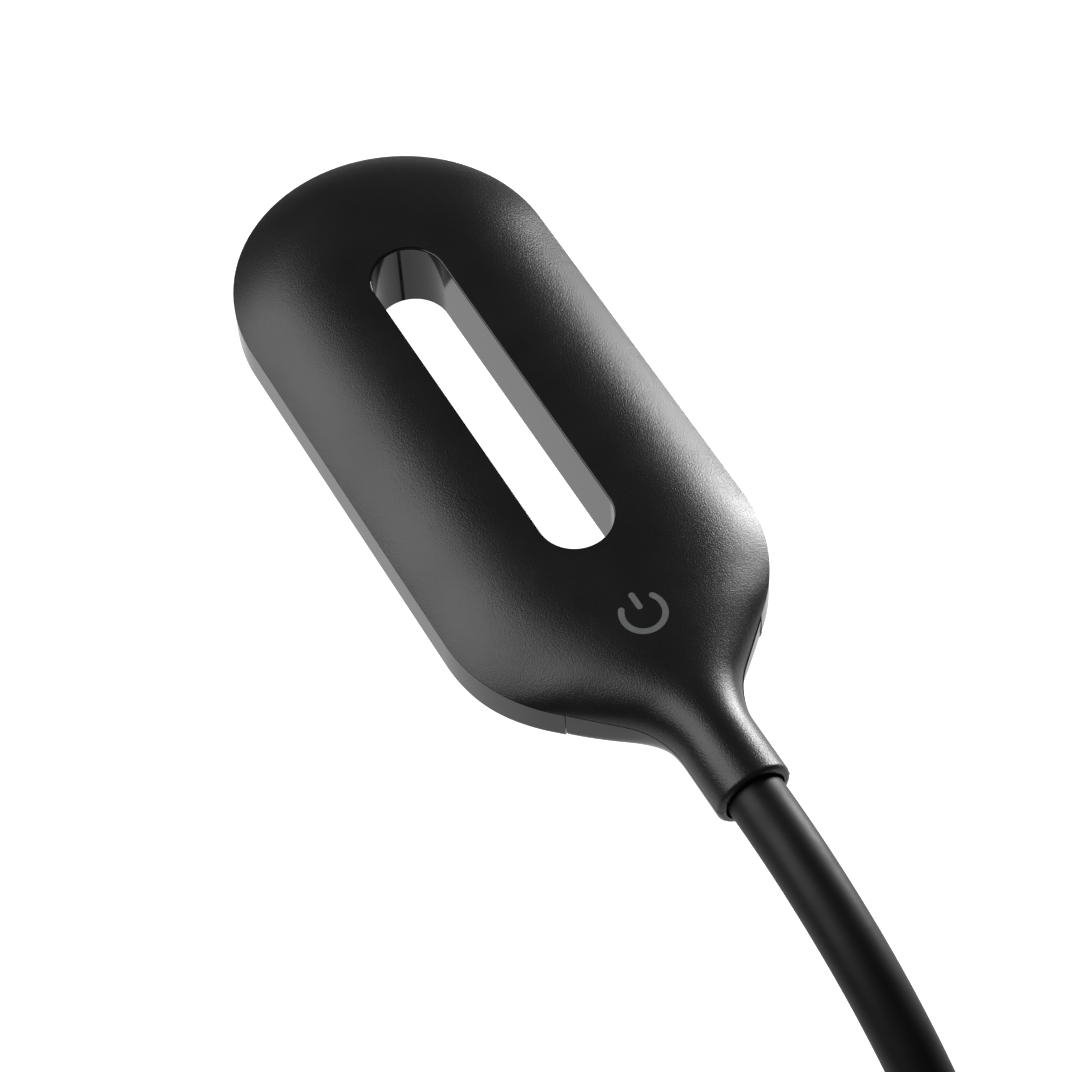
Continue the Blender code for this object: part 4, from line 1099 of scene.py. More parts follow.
    def surface(self, shape: Callable[[float], tuple[float, float, float]], station: tuple[str, float],
                share: float, inset: float) -> Vector:
        """A point of a head surface.

        Args:
            shape: Gives the section's crest and powers.
            station: The section.
            share: How far from the slot, or from the middle, to the outline.
            inset: How far the surface is moved inwards.

        Returns:
            The point, with its height counted upwards.
        """
        kind, value = station
        outer = self.rim(station, inset)
        if kind == "arc":
            inner = Vector((-self.slot_length + self.lip * math.cos(value), self.lip * math.sin(value), 0.0))
            point = inner.lerp(outer, share)
            point.z = self.height(shape, share, -self.slot_length, inset)
            return point
        inner_y = math.sqrt(max(self.lip**2 - max(value, 0.0) ** 2, 0.0))
        y = inner_y + (outer.y - inner_y) * share
        flat = self.flat_half(value)
        reach = min(max((y - flat) / (outer.y - flat), 0.0), 1.0)
        return Vector((value + (outer.x - value) * share, y, self.height(shape, reach, value, inset)))


@dataclass
class LampHead:
    """The ring head: upper shell, polished ring, neck cover, diffuser and printed power mark."""

    form: HeadForm
    shop: Workshop
    edge_round: float = 0.28 * MM
    slot_wall: float = 1.2 * MM
    slot_draft: float = 0.16 * MM
    slot_top: float = 7.58 * MM
    diffuser_recess: float = 0.3 * MM
    diffuser_thickness: float = 1.2 * MM
    mark_x: float = 23.2 * MM
    mark_radius: float = 3.75 * MM
    mark_stroke: float = 1.1 * MM
    mark_gap: float = math.radians(45.0)
    mark_height: float = 0.04 * MM
    mark_sink: float = 0.02 * MM

    def placed(self, bm: bmesh.types.BMesh) -> bmesh.types.BMesh:
        """Move a mesh from the head's frame to the lamp's."""
        bmesh.ops.translate(bm, vec=self.form.origin, verts=bm.verts)
        return bm

    def build(self) -> None:
        """Build and mount every piece of the head."""
        self.upper_shell()
        self.ring()
        self.neck_cover()
        self.diffuser()
        self.power_mark()

    def upper_shell(self) -> None:
        """The matt upper shell, a dome that turns into the top half of the round neck."""
        form = self.form
        stations = form.stations()
        shares = cosine_steps(34)
        bm = bmesh.new()
        for inset in (0.0, form.wall):
            mapped_grid(
                bm, len(stations) - 1, len(shares) - 1,
                lambda i, j: form.surface(form.dome, stations[i], shares[j], inset),
            )
        mirror_half(bm)
        outer, inner, *slot = open_loops(bm)
        slot.sort(key=lambda loop: max(e.verts[0].co.z for e in loop), reverse=True)
        bmesh.ops.bridge_loops(bm, edges=outer + inner)
        bmesh.ops.bridge_loops(bm, edges=slot[0] + slot[1])
        limit = form.collar_end - 0.5 * form.collar_edge
        crisp = [e for e in outer if e.is_valid and all(v.co.x < limit for v in e.verts)]
        round_edges(bm, crisp + [e for e in slot[0] if e.is_valid], self.edge_round, 4)
        self.shop.mount("upper_shell", self.placed(bm), Look.MATT, ("head", "matt_black"), "head_top",
                        sharp=50, even=True)

    def band_section(self, wall: float, low: float, high: float, draft: float = 0.0, radius: float = 0.2 * MM,
                     foot: float = 0.35 * MM) -> list[tuple[float, float]]:
        """A wall's rounded section.

        Args:
            wall: Its thickness.
            low: Its lower edge.
            high: Its upper edge.
            draft: How far its upper edge leans out of its face.
            radius: Rounding of its other corners.
            foot: Rounding of its lower outer corner.

        Returns:
            (inset, height) round the section, starting and ending at one point.
        """
        points = []
        corners = ((0, 0, 180, foot), (wall, 0, 270, radius), (wall, 1, 0, radius), (0, 1, 90, radius))
        for inset, top, start, bend in corners:
            middle = inset + (bend if inset == 0 else -bend)
            level = high - bend if top else low + bend
            for i in range(6):
                a = math.radians(start + i * 18)
                points.append((middle + bend * math.cos(a), level + bend * math.sin(a)))
        leaned = []
        for inset, level in points:
            share = (level - low) / (high - low)
            leaned.append((inset - draft * share * (1 - inset / wall), level))
        return leaned + leaned[:1]

    def ring(self) -> None:
        """The polished lower ring: its side wall and the wall of the slot."""
        form = self.form
        stations = form.stations(end=form.cover_front - 0.02 * MM)
        sections = []
        for kind, value in stations:
            belly = form.belly(value) if kind == "body" else 0.0
            sections.append(
                self.band_section(form.wall, -form.depth + form.belly_lift * belly, -form.seam,
                                  foot=0.35 * MM + 0.8 * MM * belly)
            )
        bm = bmesh.new()

        def side(i: int, j: int) -> Vector:
            """Place a point of the side wall.

            Args:
                i: Station.
                j: Point of its section.

            Returns:
                The point.
            """
            inset, level = sections[i][j]
            point = form.rim(stations[i], inset)
            return Vector((point.x, point.y, level))

        mapped_grid(bm, len(stations) - 1, len(sections[0]) - 1, side)
        mirror_half(bm)
        cap_open(bm)
        arc = [math.pi - i * math.pi / 48 for i in range(25)]
        path = [(-form.slot_length, a) for a in arc] + [(0.0, a - math.pi / 2) for a in arc]
        section_in = self.band_section(self.slot_wall, -form.depth, self.slot_top, self.slot_draft, 0.3 * MM,
                                       0.2 * MM)

        def slot(i: int, j: int) -> Vector:
            """Place a point of the slot's wall.

            Args:
                i: Step along its path.
                j: Point of its section.

            Returns:
                The point.
            """
            centre, angle = path[i]
            offset, level = section_in[j]
            radius = form.slot_half + offset
            return Vector((centre + radius * math.cos(angle), radius * math.sin(angle), level))

        inside = bmesh.new()
        mapped_grid(inside, len(path) - 1, len(section_in) - 1, slot)
        mirror_half(inside)
        holder = bpy.data.meshes.new("slot_wall")
        inside.to_mesh(holder)
        inside.free()
        bm.from_mesh(holder)
        bpy.data.meshes.remove(holder)
        self.shop.mount("polished_ring", self.placed(bm), Look.GLOSS, ("head", "gloss_black"), "head_ring",
                        even=True)

    def neck_cover(self) -> None:
        """The polished lower half of the neck."""
        form = self.form
        stations = form.stations(start=form.cover_front)
        shares = sine_steps(28)
        bm = bmesh.new()
        for inset in (0.0, form.wall):
            def lower(i: int, j: int) -> Vector:
                """Place a point of the cover.

                Args:
                    i: Station.
                    j: Step outwards.

                Returns:
                    The point.
                """
                point = form.surface(form.keel, stations[i], shares[j], inset)
                point.z = -form.seam - point.z * (1 - form.seam / form.depth)
                if shares[j] == 0.0:
                    point.y = 0.0
                return point

            mapped_grid(bm, len(stations) - 1, len(shares) - 1, lower)
        mirror_half(bm)
        outer, inner = open_loops(bm)[:2]
        bmesh.ops.bridge_loops(bm, edges=outer + inner)
        limit = form.collar_end - 0.5 * form.collar_edge
        crisp = [e for e in outer if e.is_valid and all(v.co.x < limit for v in e.verts)]
        round_edges(bm, crisp, 0.2 * MM, 3)
        self.shop.mount("neck_cover_shell", self.placed(bm), Look.GLOSS, ("head", "gloss_black"),
                        "neck_cover", sharp=50, even=True)

    def diffuser(self) -> None:
        """The opal sheet under the LEDs, seated inside the ring."""
        form = self.form
        clear = 0.15 * MM
        stations = form.stations(end=form.cover_front - 0.15 * MM - form.wall - clear)
        low = -form.depth + self.diffuser_recess
        inner = form.slot_half + self.slot_wall + clear
        bm = bmesh.new()

        def level(i: int, j: int) -> Vector:
            """Place a point of the sheet's lower face.

            Args:
                i: Station.
                j: Quarter of the way outwards.

            Returns:
                The point.
            """
            kind, value = stations[i]
            outer = form.rim(stations[i], form.wall + clear)
            share = j / 4
            if kind == "arc":
                near = Vector((-form.slot_length + inner * math.cos(value), inner * math.sin(value), 0.0))
            else:
                near = Vector((value, math.sqrt(max(inner**2 - max(value, 0.0) ** 2, 0.0)), 0.0))
            point = near.lerp(outer, share)
            point.z = low
            return point

        mapped_grid(bm, len(stations) - 1, 4, level)
        mirror_half(bm)
        raise_faces(bm, bm.faces, (0, 0, self.diffuser_thickness))
        round_edges(bm, sharp_edges(bm, 60), 0.15 * MM, 2)
        self.shop.mount("opal_diffuser", self.placed(bm), Look.OPAL, ("head", "opal"), "diffuser")

    def power_mark(self) -> None:
        """The printed power symbol: an open ring and a bar, laid on the shell."""
        half = self.mark_stroke / 2
        sweep = TURN - 2 * self.mark_gap

        def ring_line(t: float) -> Vector:
            """The open ring's middle line, for 0 to 1."""
            angle = math.pi + self.mark_gap + sweep * t
            return Vector((math.cos(angle), math.sin(angle))) * self.mark_radius

        def bar_line(t: float) -> Vector:
            """The bar's middle line, for 0 to 1."""
            return Vector((-self.mark_radius * (1.20 - 1.0 * t), 0.0))

        bm = bmesh.new()
        self.stroke(bm, ring_line, 96, half, sweep * self.mark_radius)
        self.stroke(bm, bar_line, 28, half, self.mark_radius)
        weld(bm)
        raise_faces(bm, bm.faces, (0, 0, self.mark_height))
        self.shop.mount("power_mark", self.placed(bm), Look.INK, ("head", "gloss_black"))

    def stroke(self, bm: bmesh.types.BMesh, line: Callable[[float], Vector], rows: int, half: float,
               length: float) -> None:
        """Add one round-ended stroke of the mark, just under the shell's height.

        Args:
            bm: The mesh to add to.
            line: The stroke's middle line, for 0 to 1, about the mark's centre.
            rows: Steps along it.
            half: Half its width.
            length: Its length.
        """
        def place(i: int, j: int) -> Vector:
            """Place a point of the stroke.

            Args:
                i: Step along it.
                j: Quarter of the way across.

            Returns:
                The point.
            """
            t = i / rows
            middle = line(t)
            ahead = (line(min(t + 0.001, 1.0)) - line(max(t - 0.001, 0.0))).normalized()
            end = min(t, 1 - t) * length
            width = math.sqrt(max(half**2 - max(half - end, 0.0) ** 2, 0.0))
            across = Vector((-ahead.y, ahead.x)) * width * (j / 4 - 0.5) * 2
            spot = middle + across
            x = self.mark_x + spot.x
            return Vector((x, spot.y, self.form.top_at(x, spot.y) - self.mark_sink))

        mapped_grid(bm, rows, 4, place)


# ---- gooseneck -----------------------------------------------------------------------------------
@dataclass
class Gooseneck:
    """The stem: a smooth sleeve made of one length for each joint, bent between two links."""

    joints: list[dict]
    base: Vector
    tip: Vector
    shop: Workshop
    radius: float = 5.2 * MM
    grip: float = 4.8 * MM
    sides: int = 56
    steps: int = 16

    def build(self) -> None:
        """Build a sleeve length across every joint."""
        centres = [self.base] + [Vector(j["pos_m"]) for j in self.joints] + [self.tip]
        middles = [self.base]
        middles += [(a + b) / 2 for a, b in zip(centres[1:-2], centres[2:-1])]
        middles.append(self.tip)
        for index, joint in enumerate(self.joints):
            start, knee, end = middles[index], centres[index + 1], middles[index + 1]
            made = self.length(f"sleeve_length_{index + 1:02d}", start, knee, end,
                               self.grip if index == 0 else 0.0,
                               self.grip if index == len(self.joints) - 1 else 0.0)
            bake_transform(made)
            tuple(start)
            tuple(end)
            nodes = [f"core_{index:02d}", f"sleeve_{index:02d}"]
            if index == len(self.joints) - 1:
                nodes += [f"core_{index + 1:02d}", f"sleeve_{index + 1:02d}"]
            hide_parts(*nodes)

    def length(self, name: str, start: Vector, knee: Vector, end: Vector, before: float,
               after: float) -> bpy.types.Object:
        """One length of sleeve along the curve that two links' middles and their joint give.

        Args:
            name: The piece's name.
            start: Middle of the lower link.
            knee: The joint.
            end: Middle of the upper link.
            before: Extra straight length below the start.
            after: Extra straight length past the end.

        Returns:
            The sleeve length.
        """
        line = [(start - (knee - start).normalized() * before, knee - start)] if before else []
        for i in range(self.steps + 1):
            t = i / self.steps
            point = start * (1 - t) ** 2 + knee * 2 * t * (1 - t) + end * t**2
            line.append((point, (knee - start) * (1 - t) + (end - knee) * t))
        if after:
            line.append((end + (end - knee).normalized() * after, end - knee))

        def place(i: int, j: int) -> Vector:
            """Place a point of the sleeve.

            Args:
                i: Step along it.
                j: Step round it.

            Returns:
                The point.
            """
            point, ahead = line[i]
            ahead = ahead.normalized()
            side = Vector((0, 1, 0))
            front = side.cross(ahead).normalized()
            angle = TURN * j / self.sides
            return point + (side * math.cos(angle) + front * math.sin(angle)) * self.radius

        bm = bmesh.new()
        mapped_grid(bm, len(line) - 1, self.sides, place)
        weld(bm)
        cap_open(bm)
        return self.shop.piece(name, bm, Look.SILICONE, 60)


# ---- clip ----------------------------------------------------------------------------------------
@dataclass
class ClipForm:
    """Sizes of the clip, in the lamp's frame."""

    half_width: float = 18.0 * MM
    nose: float = -20.0 * MM
    tail: float = 78.0 * MM
    tail_corner: float = 8.0 * MM
    top: float = 25.0 * MM
    split: float = 12.0 * MM
    underside: float = 2.6 * MM
    gap: float = 0.3 * MM
    wall: float = 2.0 * MM
    edge: float = 5.0 * MM
    lower_edge: float = 1.2 * MM
    stem_x: float = 46.0 * MM
    stem_top: float = 34.0 * MM
    stem_radius: float = 7.05 * MM
    stem_bore: float = 5.7 * MM
    stem_flare: float = 4.0 * MM
    stem_edge: float = 1.0 * MM
    pin_x: float = 40.0 * MM
    pin_z: float = -3.0 * MM
    pin_radius: float = 1.5 * MM
    ear_radius: float = 4.5 * MM
    ear_inner: float = 9.0 * MM
    ear_thickness: float = 3.0 * MM
    pad_length: float = 28.0 * MM
    pad_width: float = 24.0 * MM
    pad_thickness: float = 2.3 * MM
    grip: float = 8.0 * MM
    jaw_thickness: float = 5.0 * MM
    lever_angle: float = math.radians(22.0)
    socket_level: float = 7.8 * MM

    def loop(self, inset: float, stop: float | None = None) -> list[tuple[float, float]]:
        """The clip's plan outline, moved inwards.

        Args:
            inset: How far it is moved inwards.
            stop: Where to cut it off square, or None for the whole outline with its tail.

        Returns:
            The outline, once round.
        """
        half = []
        centre = self.nose + self.half_width
        for i in range(33):
            a = math.pi - i * math.pi / 64
            reach = self.half_width - inset
            half.append((centre + reach * math.cos(a), reach * math.sin(a)))
        half[0] = (half[0][0], 0.0)
        if stop is None:
            corner = self.tail_corner
            for i in range(17):
                a = math.pi / 2 - i * math.pi / 32
                reach = corner - inset
                along, across = reach * math.cos(a), reach * math.sin(a)
                half.append((self.tail - corner + along, self.half_width - corner + across))
        else:
            half.append((stop, self.half_width - inset))
        return half + [(x, -y) for x, y in reversed(half[1:])]

    def closing(self) -> Matrix:
        """Turns the jaw about its pin from where the pads are parallel to where their noses meet.

        Returns:
            The transform, in the lamp's frame.
        """
        reach, drop = self.pin_x + self.pad_length / 2, self.grip + self.pin_z
        turn = math.atan2(drop, reach) - math.asin((self.gap + self.pin_z) / math.hypot(reach, drop))
        pin = Vector((self.pin_x, 0.0, self.pin_z))
        return Matrix.Translation(pin) @ Matrix.Rotation(turn, 4, "Y") @ Matrix.Translation(-pin)

    def lever_place(self) -> Matrix:
        """From the lever's own frame to the lamp's, with the pads parallel."""
        return Matrix.Translation((self.pin_x, 0, self.pin_z)) @ Matrix.Rotation(self.lever_angle, 4, "Y")

    def cross(self, y: float = 0.0) -> Matrix:
        """From a frame whose Z runs along the hinge to the lamp's frame."""
        return Matrix.Translation((self.pin_x, y, self.pin_z)) @ Matrix.Rotation(-math.pi / 2, 4, "X")


@dataclass
class ClipCovers:
    """The clip's covers: the upper one with the gooseneck's collar, the lower one with the hinge's ears."""

    form: ClipForm
    shop: Workshop
    screw_head: float = 2.2 * MM
    screw_shank: float = 1.3 * MM
    recess: float = 1.3 * MM
    window_radius: float = 1.9 * MM
    window_straight: float = 5.7 * MM
    eye_radius: float = 1.3 * MM

    def build(self) -> None:
        """Build both covers."""
        self.upper()
        self.lower()

    def upper(self) -> None:
        """The upper cover, hollow, with a flared collar round the gooseneck."""
        form = self.form
        ceiling = form.top - form.wall
        bm = bmesh.new()
        for inset, high, edge in ((0.0, form.top, form.edge), (form.wall, ceiling, form.edge - form.wall)):
            block = slab_into(bm, form.loop(inset), form.split, high)
            round_edges(bm, rim_at(bm, high, block), edge, 10)
            open_face(bm, 2, high)
        open_face(bm, 2, form.split)
        flare = form.stem_flare
        profile = [
            (form.stem_radius + flare * (1 - math.sin(a)), form.top + flare * (1 - math.cos(a)))
            for a in (math.pi / 2 * i / 12 for i in range(13))
        ]
        for i in range(7):
            a = math.pi / 12 * i
            profile.append((form.stem_radius - form.stem_edge * (1 - math.cos(a)),
                            form.stem_top - form.stem_edge * (1 - math.sin(a))))
        profile += [(form.stem_bore + 0.15 * MM, form.stem_top), (form.stem_bore, form.stem_top - 0.15 * MM),
                    (form.stem_bore, ceiling)]
        strip_into(bm, circle_loops(profile, 64, Matrix.Translation((form.stem_x, 0, 0))))
        fill_level(bm, 2, form.top)
        fill_level(bm, 2, ceiling)
        rims = open_loops(bm)
        bmesh.ops.bridge_loops(bm, edges=rims[0] + rims[1])
        round_edges(bm, [e for e in rims[0] if e.is_valid], 0.3 * MM, 2)
        self.shop.mount("upper_cover", bm, Look.MATT, ("clip", "matt_black"), "clip_top_cover", even=True)

    def screw_places(self) -> list[Vector]:
        """Middles of the four cover screws, on the clip's underside."""
        middles = [box_middle(f"clip_screw_{i}") for i in range(1, 5)]
        return [Vector((middle.x, middle.y, self.form.underside)) for middle in middles]

    def lower(self) -> None:
        """The lower cover: screw recesses, the socket's and the light's windows, and two ears."""
        form = self.form
        floor, high = form.underside + form.wall, form.split - form.gap
        bm = bmesh.new()
        block = slab_into(bm, form.loop(0.0), form.underside, high)
        round_edges(bm, rim_at(bm, form.underside, block), form.lower_edge, 5)
        slab_into(bm, form.loop(form.wall), floor, high)
        pierced = ((2, form.underside), (2, floor), (0, form.tail), (0, form.tail - form.wall))
        for axis, level in pierced + ((2, high),):
            open_face(bm, axis, level)
        self.bridge_rim(bm, high)
        head, shank = self.screw_head, self.screw_shank
        recess = [(head + 0.2 * MM, 0.0), (head, 0.2 * MM), (head, self.recess), (shank, self.recess),
                  (shank, form.wall)]
        for place in self.screw_places():
            strip_into(bm, circle_loops(recess, 32, Matrix.Translation(place)))
        r = self.window_radius
        window = [(r + 0.15 * MM, 0.0), (r, -0.15 * MM), (r, -form.wall)]
        middle = Matrix.Translation((form.tail, 0.0, form.socket_level))
        strip_into(bm, pill_loops(window, self.window_straight, middle))
        pipe = box_middle("charge_light_pipe")
        spot = Vector((form.tail, pipe.y, pipe.z))
        r = self.eye_radius
        eye = [(r + 0.1 * MM, 0.0), (r, -0.1 * MM), (r, -form.wall)]
        strip_into(bm, pill_loops(eye, 0.0, Matrix.Translation(spot)))
        for axis, level in pierced:
            fill_level(bm, axis, level)
        bmesh.ops.recalc_face_normals(bm, faces=bm.faces)
        for side in (1, -1):
            self.ear(bm, side)
        self.shop.mount("lower_cover", bm, Look.MATT, ("clip", "matt_black"), "clip_bottom_cover", even=True)

    def bridge_rim(self, bm: bmesh.types.BMesh, level: float) -> None:
        """Close the lower cover's upper rim where its loops run into the open tail faces.

        Args:
            bm: The mesh to add to.
            level: Height of the rim.
        """
        outer, inner = self.form.loop(0.0), self.form.loop(self.form.wall)
        count = len(outer)
        points = [[Vector((x, y, level)) for x, y in loop] for loop in (outer, inner)]
        mapped_grid(bm, 1, count, lambda i, j: points[i][j % count].copy())
        weld(bm, NEAR)

    def ear(self, bm: bmesh.types.BMesh, side: int) -> None:
        """One ear of the hinge, with its bore.

        Args:
            bm: The mesh to add to.
            side: 1 or -1, for the ear's side of the clip.
        """
        form = self.form
        x, z, r = form.pin_x, form.pin_z, form.ear_radius
        foot = form.underside + 0.6 * MM
        outline = [(x + r, foot)] + [(x + r, z)] + arc_points(x, z, r, 0, -180, 24)[1:] + [(x - r, foot)]
        low, high = sorted((side * form.ear_inner, side * (form.ear_inner + form.ear_thickness)))
        bore = circle_loops([(form.pin_radius + form.gap, 0.0), (form.pin_radius + form.gap, high - low)], 32,
                            Matrix.Translation((x, low, z)) @ Matrix.Rotation(-math.pi / 2, 4, "X"))
        before = set(bm.faces)
        loops = [[Vector((px, y, pz)) for px, pz in outline] for y in (low, high)]
        strip_into(bm, loops)
        strip_into(bm, bore)
        for level in (low, high):
            fill_level(bm, 1, level)
        fresh = [f for f in bm.faces if f not in before]
        bmesh.ops.recalc_face_normals(bm, faces=fresh)
        rim = [
            e for e in bm.edges
            if e.is_manifold and any(f in fresh for f in e.link_faces)
            and e.calc_face_angle(0.0) > math.radians(50) and max(v.co.z for v in e.verts) < form.underside
        ]
        round_edges(bm, rim, 0.3 * MM, 2)


@dataclass
class ClipPads:
    """The two grooved rubber pads."""

    form: ClipForm
    shop: Workshop
    groove: float = 1.2 * MM
    depth: float = 0.7 * MM
    land: float = 2.8 * MM

    def build(self) -> None:
        """Build the pad on each jaw."""
        over = Matrix.Translation((0, 0, -self.form.grip)) @ Matrix.Rotation(math.pi, 4, "X")
        for name, body, node, place in (
            ("fixed_grip", "clip", "fixed_pad", Matrix.Identity(4)),
            ("moving_grip", "jaw", "moving_pad", self.form.closing() @ over),
        ):
            bm = bmesh.new()
            y = self.form.pad_width / 2
            profile_into(bm, self.section(), -y, y, 0.22 * MM, 2)
            bmesh.ops.transform(bm, matrix=place, verts=bm.verts)
            self.shop.mount(name, bm, Look.RUBBER, (body, "pad_rubber"), node, sharp=35)

    def section(self) -> list[tuple[float, float]]:
        """The pad's section along the jaw, with its gripping face at z = 0 and its back above it.

        Returns:
            The section's (x, z) points, once round.
        """
        half = self.form.pad_length / 2
        pitch = self.groove + self.land
        count = int((half - self.land / 2) // pitch)
        right = []
        for i in range(count):
            near = self.land / 2 + i * pitch
            far = near + self.groove
            right += [(near, 0.0), (near + 0.12 * MM, self.depth), (far - 0.12 * MM, self.depth), (far, 0.0)]
        right += [(half, 0.0), (half, self.form.pad_thickness)]
        left = [(-x, z) for x, z in reversed(right)]
        return left + right


@dataclass
class MovingJaw:
    """The lower jaw with its hinge knuckles and squeeze lever."""

    form: ClipForm
    shop: Workshop
    pocket: float = 4.4 * MM
    knuckle_width: float = 3.0 * MM
    lever_length: float = 41.0 * MM
    lever_half: float = 14.0 * MM
    lever_corner: float = 8.0 * MM
    lever_top: float = -2.2 * MM
    lever_thickness: float = 3.5 * MM
    groove_middle: float = 3.875 * MM
    groove_half: float = 0.9 * MM
    groove_depth: float = -4.0 * MM
    groove_end: float = 17.0 * MM

    def build(self) -> None:
        """Build the jaw in one piece."""
        form = self.form
        bm = bmesh.new()
        top = -(form.grip + form.pad_thickness + form.gap)
        low = top - form.jaw_thickness
        end = form.pin_x - form.ear_radius - 2 * MM
        arm = slab_into(bm, form.loop(0.0, end), low, top)
        round_edges(bm, rim_at(bm, low, arm), form.lower_edge, 5)
        round_edges(bm, rim_at(bm, top, bm.verts), 0.4 * MM, 2)
        knuckle = form.ear_inner - form.gap
        side = knuckle - 0.5 * MM
        root = [(end - 4 * MM, low + MM)]
        root += arc_points(form.pin_x - 1.5 * MM, low + 3.5 * MM, 2.5 * MM, -90, 0, 6)
        root += [(form.pin_x + MM, form.pin_z - self.pocket - 1.0 * MM)]
        root += arc_points(form.pin_x, form.pin_z, self.pocket, -78, -178, 16)
        root += [(form.pin_x - self.pocket, form.pin_z + 0.2 * MM), (end - 2.5 * MM, form.pin_z + 0.2 * MM),
                 (end - 4 * MM, form.pin_z - 1.3 * MM)]
        profile_into(bm, root, -side, side, 0.3 * MM, 2)
        self.lever(bm)
        bmesh.ops.transform(bm, matrix=form.closing(), verts=bm.verts)
        bore, rim, width = form.pin_radius + form.gap, form.ear_radius, self.knuckle_width
        ring = [(bore, 0.2 * MM), (bore + 0.2 * MM, 0.0), (rim - 0.3 * MM, 0.0), (rim, 0.3 * MM),
                (rim, width - 0.3 * MM), (rim - 0.3 * MM, width), (bore + 0.2 * MM, width),
                (bore, width - 0.2 * MM)]
        for y in (-knuckle, knuckle - width):
            lathe_into(bm, ring + ring[:1], 48, form.cross(y))
        self.shop.mount("squeeze_jaw", bm, Look.MATT, ("jaw", "matt_black"), "moving_jaw", even=True)

    def plan(self, groove: bool) -> list[tuple[float, float]]:
        """The lever's plan outline, with or without the slot for the spring's leg.

        Args:
            groove: Whether to leave the slot.

        Returns:
            The outline, once round.
        """
        arm = self.form.ear_inner - MM
        near, start = self.pocket + 0.35 * MM, 1.8 * MM
        inner = arm - 2.4 * MM
        half = [(near, inner), (start, inner), (start, arm), (6.5 * MM, arm), (10.5 * MM, self.lever_half)]
        corner = self.lever_corner
        half += [
            (self.lever_length - corner * (1 - math.cos(a)), self.lever_half - corner * (1 - math.sin(a)))
            for a in (math.pi / 2 - i * math.pi / 24 for i in range(13))
        ]
        slot = []
        if groove:
            low, high = self.groove_middle - self.groove_half, self.groove_middle + self.groove_half
            slot = [(near, low), (self.groove_end, low), (self.groove_end, high), (near, high)]
        return [(x, -y) for x, y in reversed(half)][:-1] + [(near, -inner)] + slot + half

    def lever(self, bm: bmesh.types.BMesh) -> None:
        """The squeeze lever, with a slot for the spring's leg above and ribs for the finger below.

        Args:
            bm: The mesh to add to.
        """
        low = self.lever_top - self.lever_thickness
        place = self.form.lever_place()
        layers = (
            (self.plan(False), low, self.groove_depth),
            (self.plan(True), low + 0.9 * MM, self.lever_top),
        )
        for index, (loop, bottom, top) in enumerate(layers):
            made = slab_into(bm, loop, bottom, top)
            level = top if index else bottom
            before = set(bm.verts) - set(made)
            round_edges(bm, rim_at(bm, level, made), 0.5 * MM, 3)
            made = [v for v in bm.verts if v not in before]
            bmesh.ops.transform(bm, matrix=place, verts=made)
        for i in range(5):
            x = (23.0 + 3.0 * i) * MM
            reach = min(10.0 * MM, self.lever_half - 3 * MM)
            rib = circle_loops(
                [(0.05 * MM, -reach), (0.4 * MM, -reach + 0.2 * MM), (0.6 * MM, -reach + 0.7 * MM),
                 (0.6 * MM, reach - 0.7 * MM), (0.4 * MM, reach - 0.2 * MM), (0.05 * MM, reach)], 16,
                place @ Matrix.Translation((x, 0, low + 0.25 * MM)) @ Matrix.Rotation(-math.pi / 2, 4, "X"))
            fresh = strip_into(bm, rib)
            rims = [e for e in edges_of(fresh) if e.is_boundary]
            bmesh.ops.holes_fill(bm, edges=rims, sides=0)


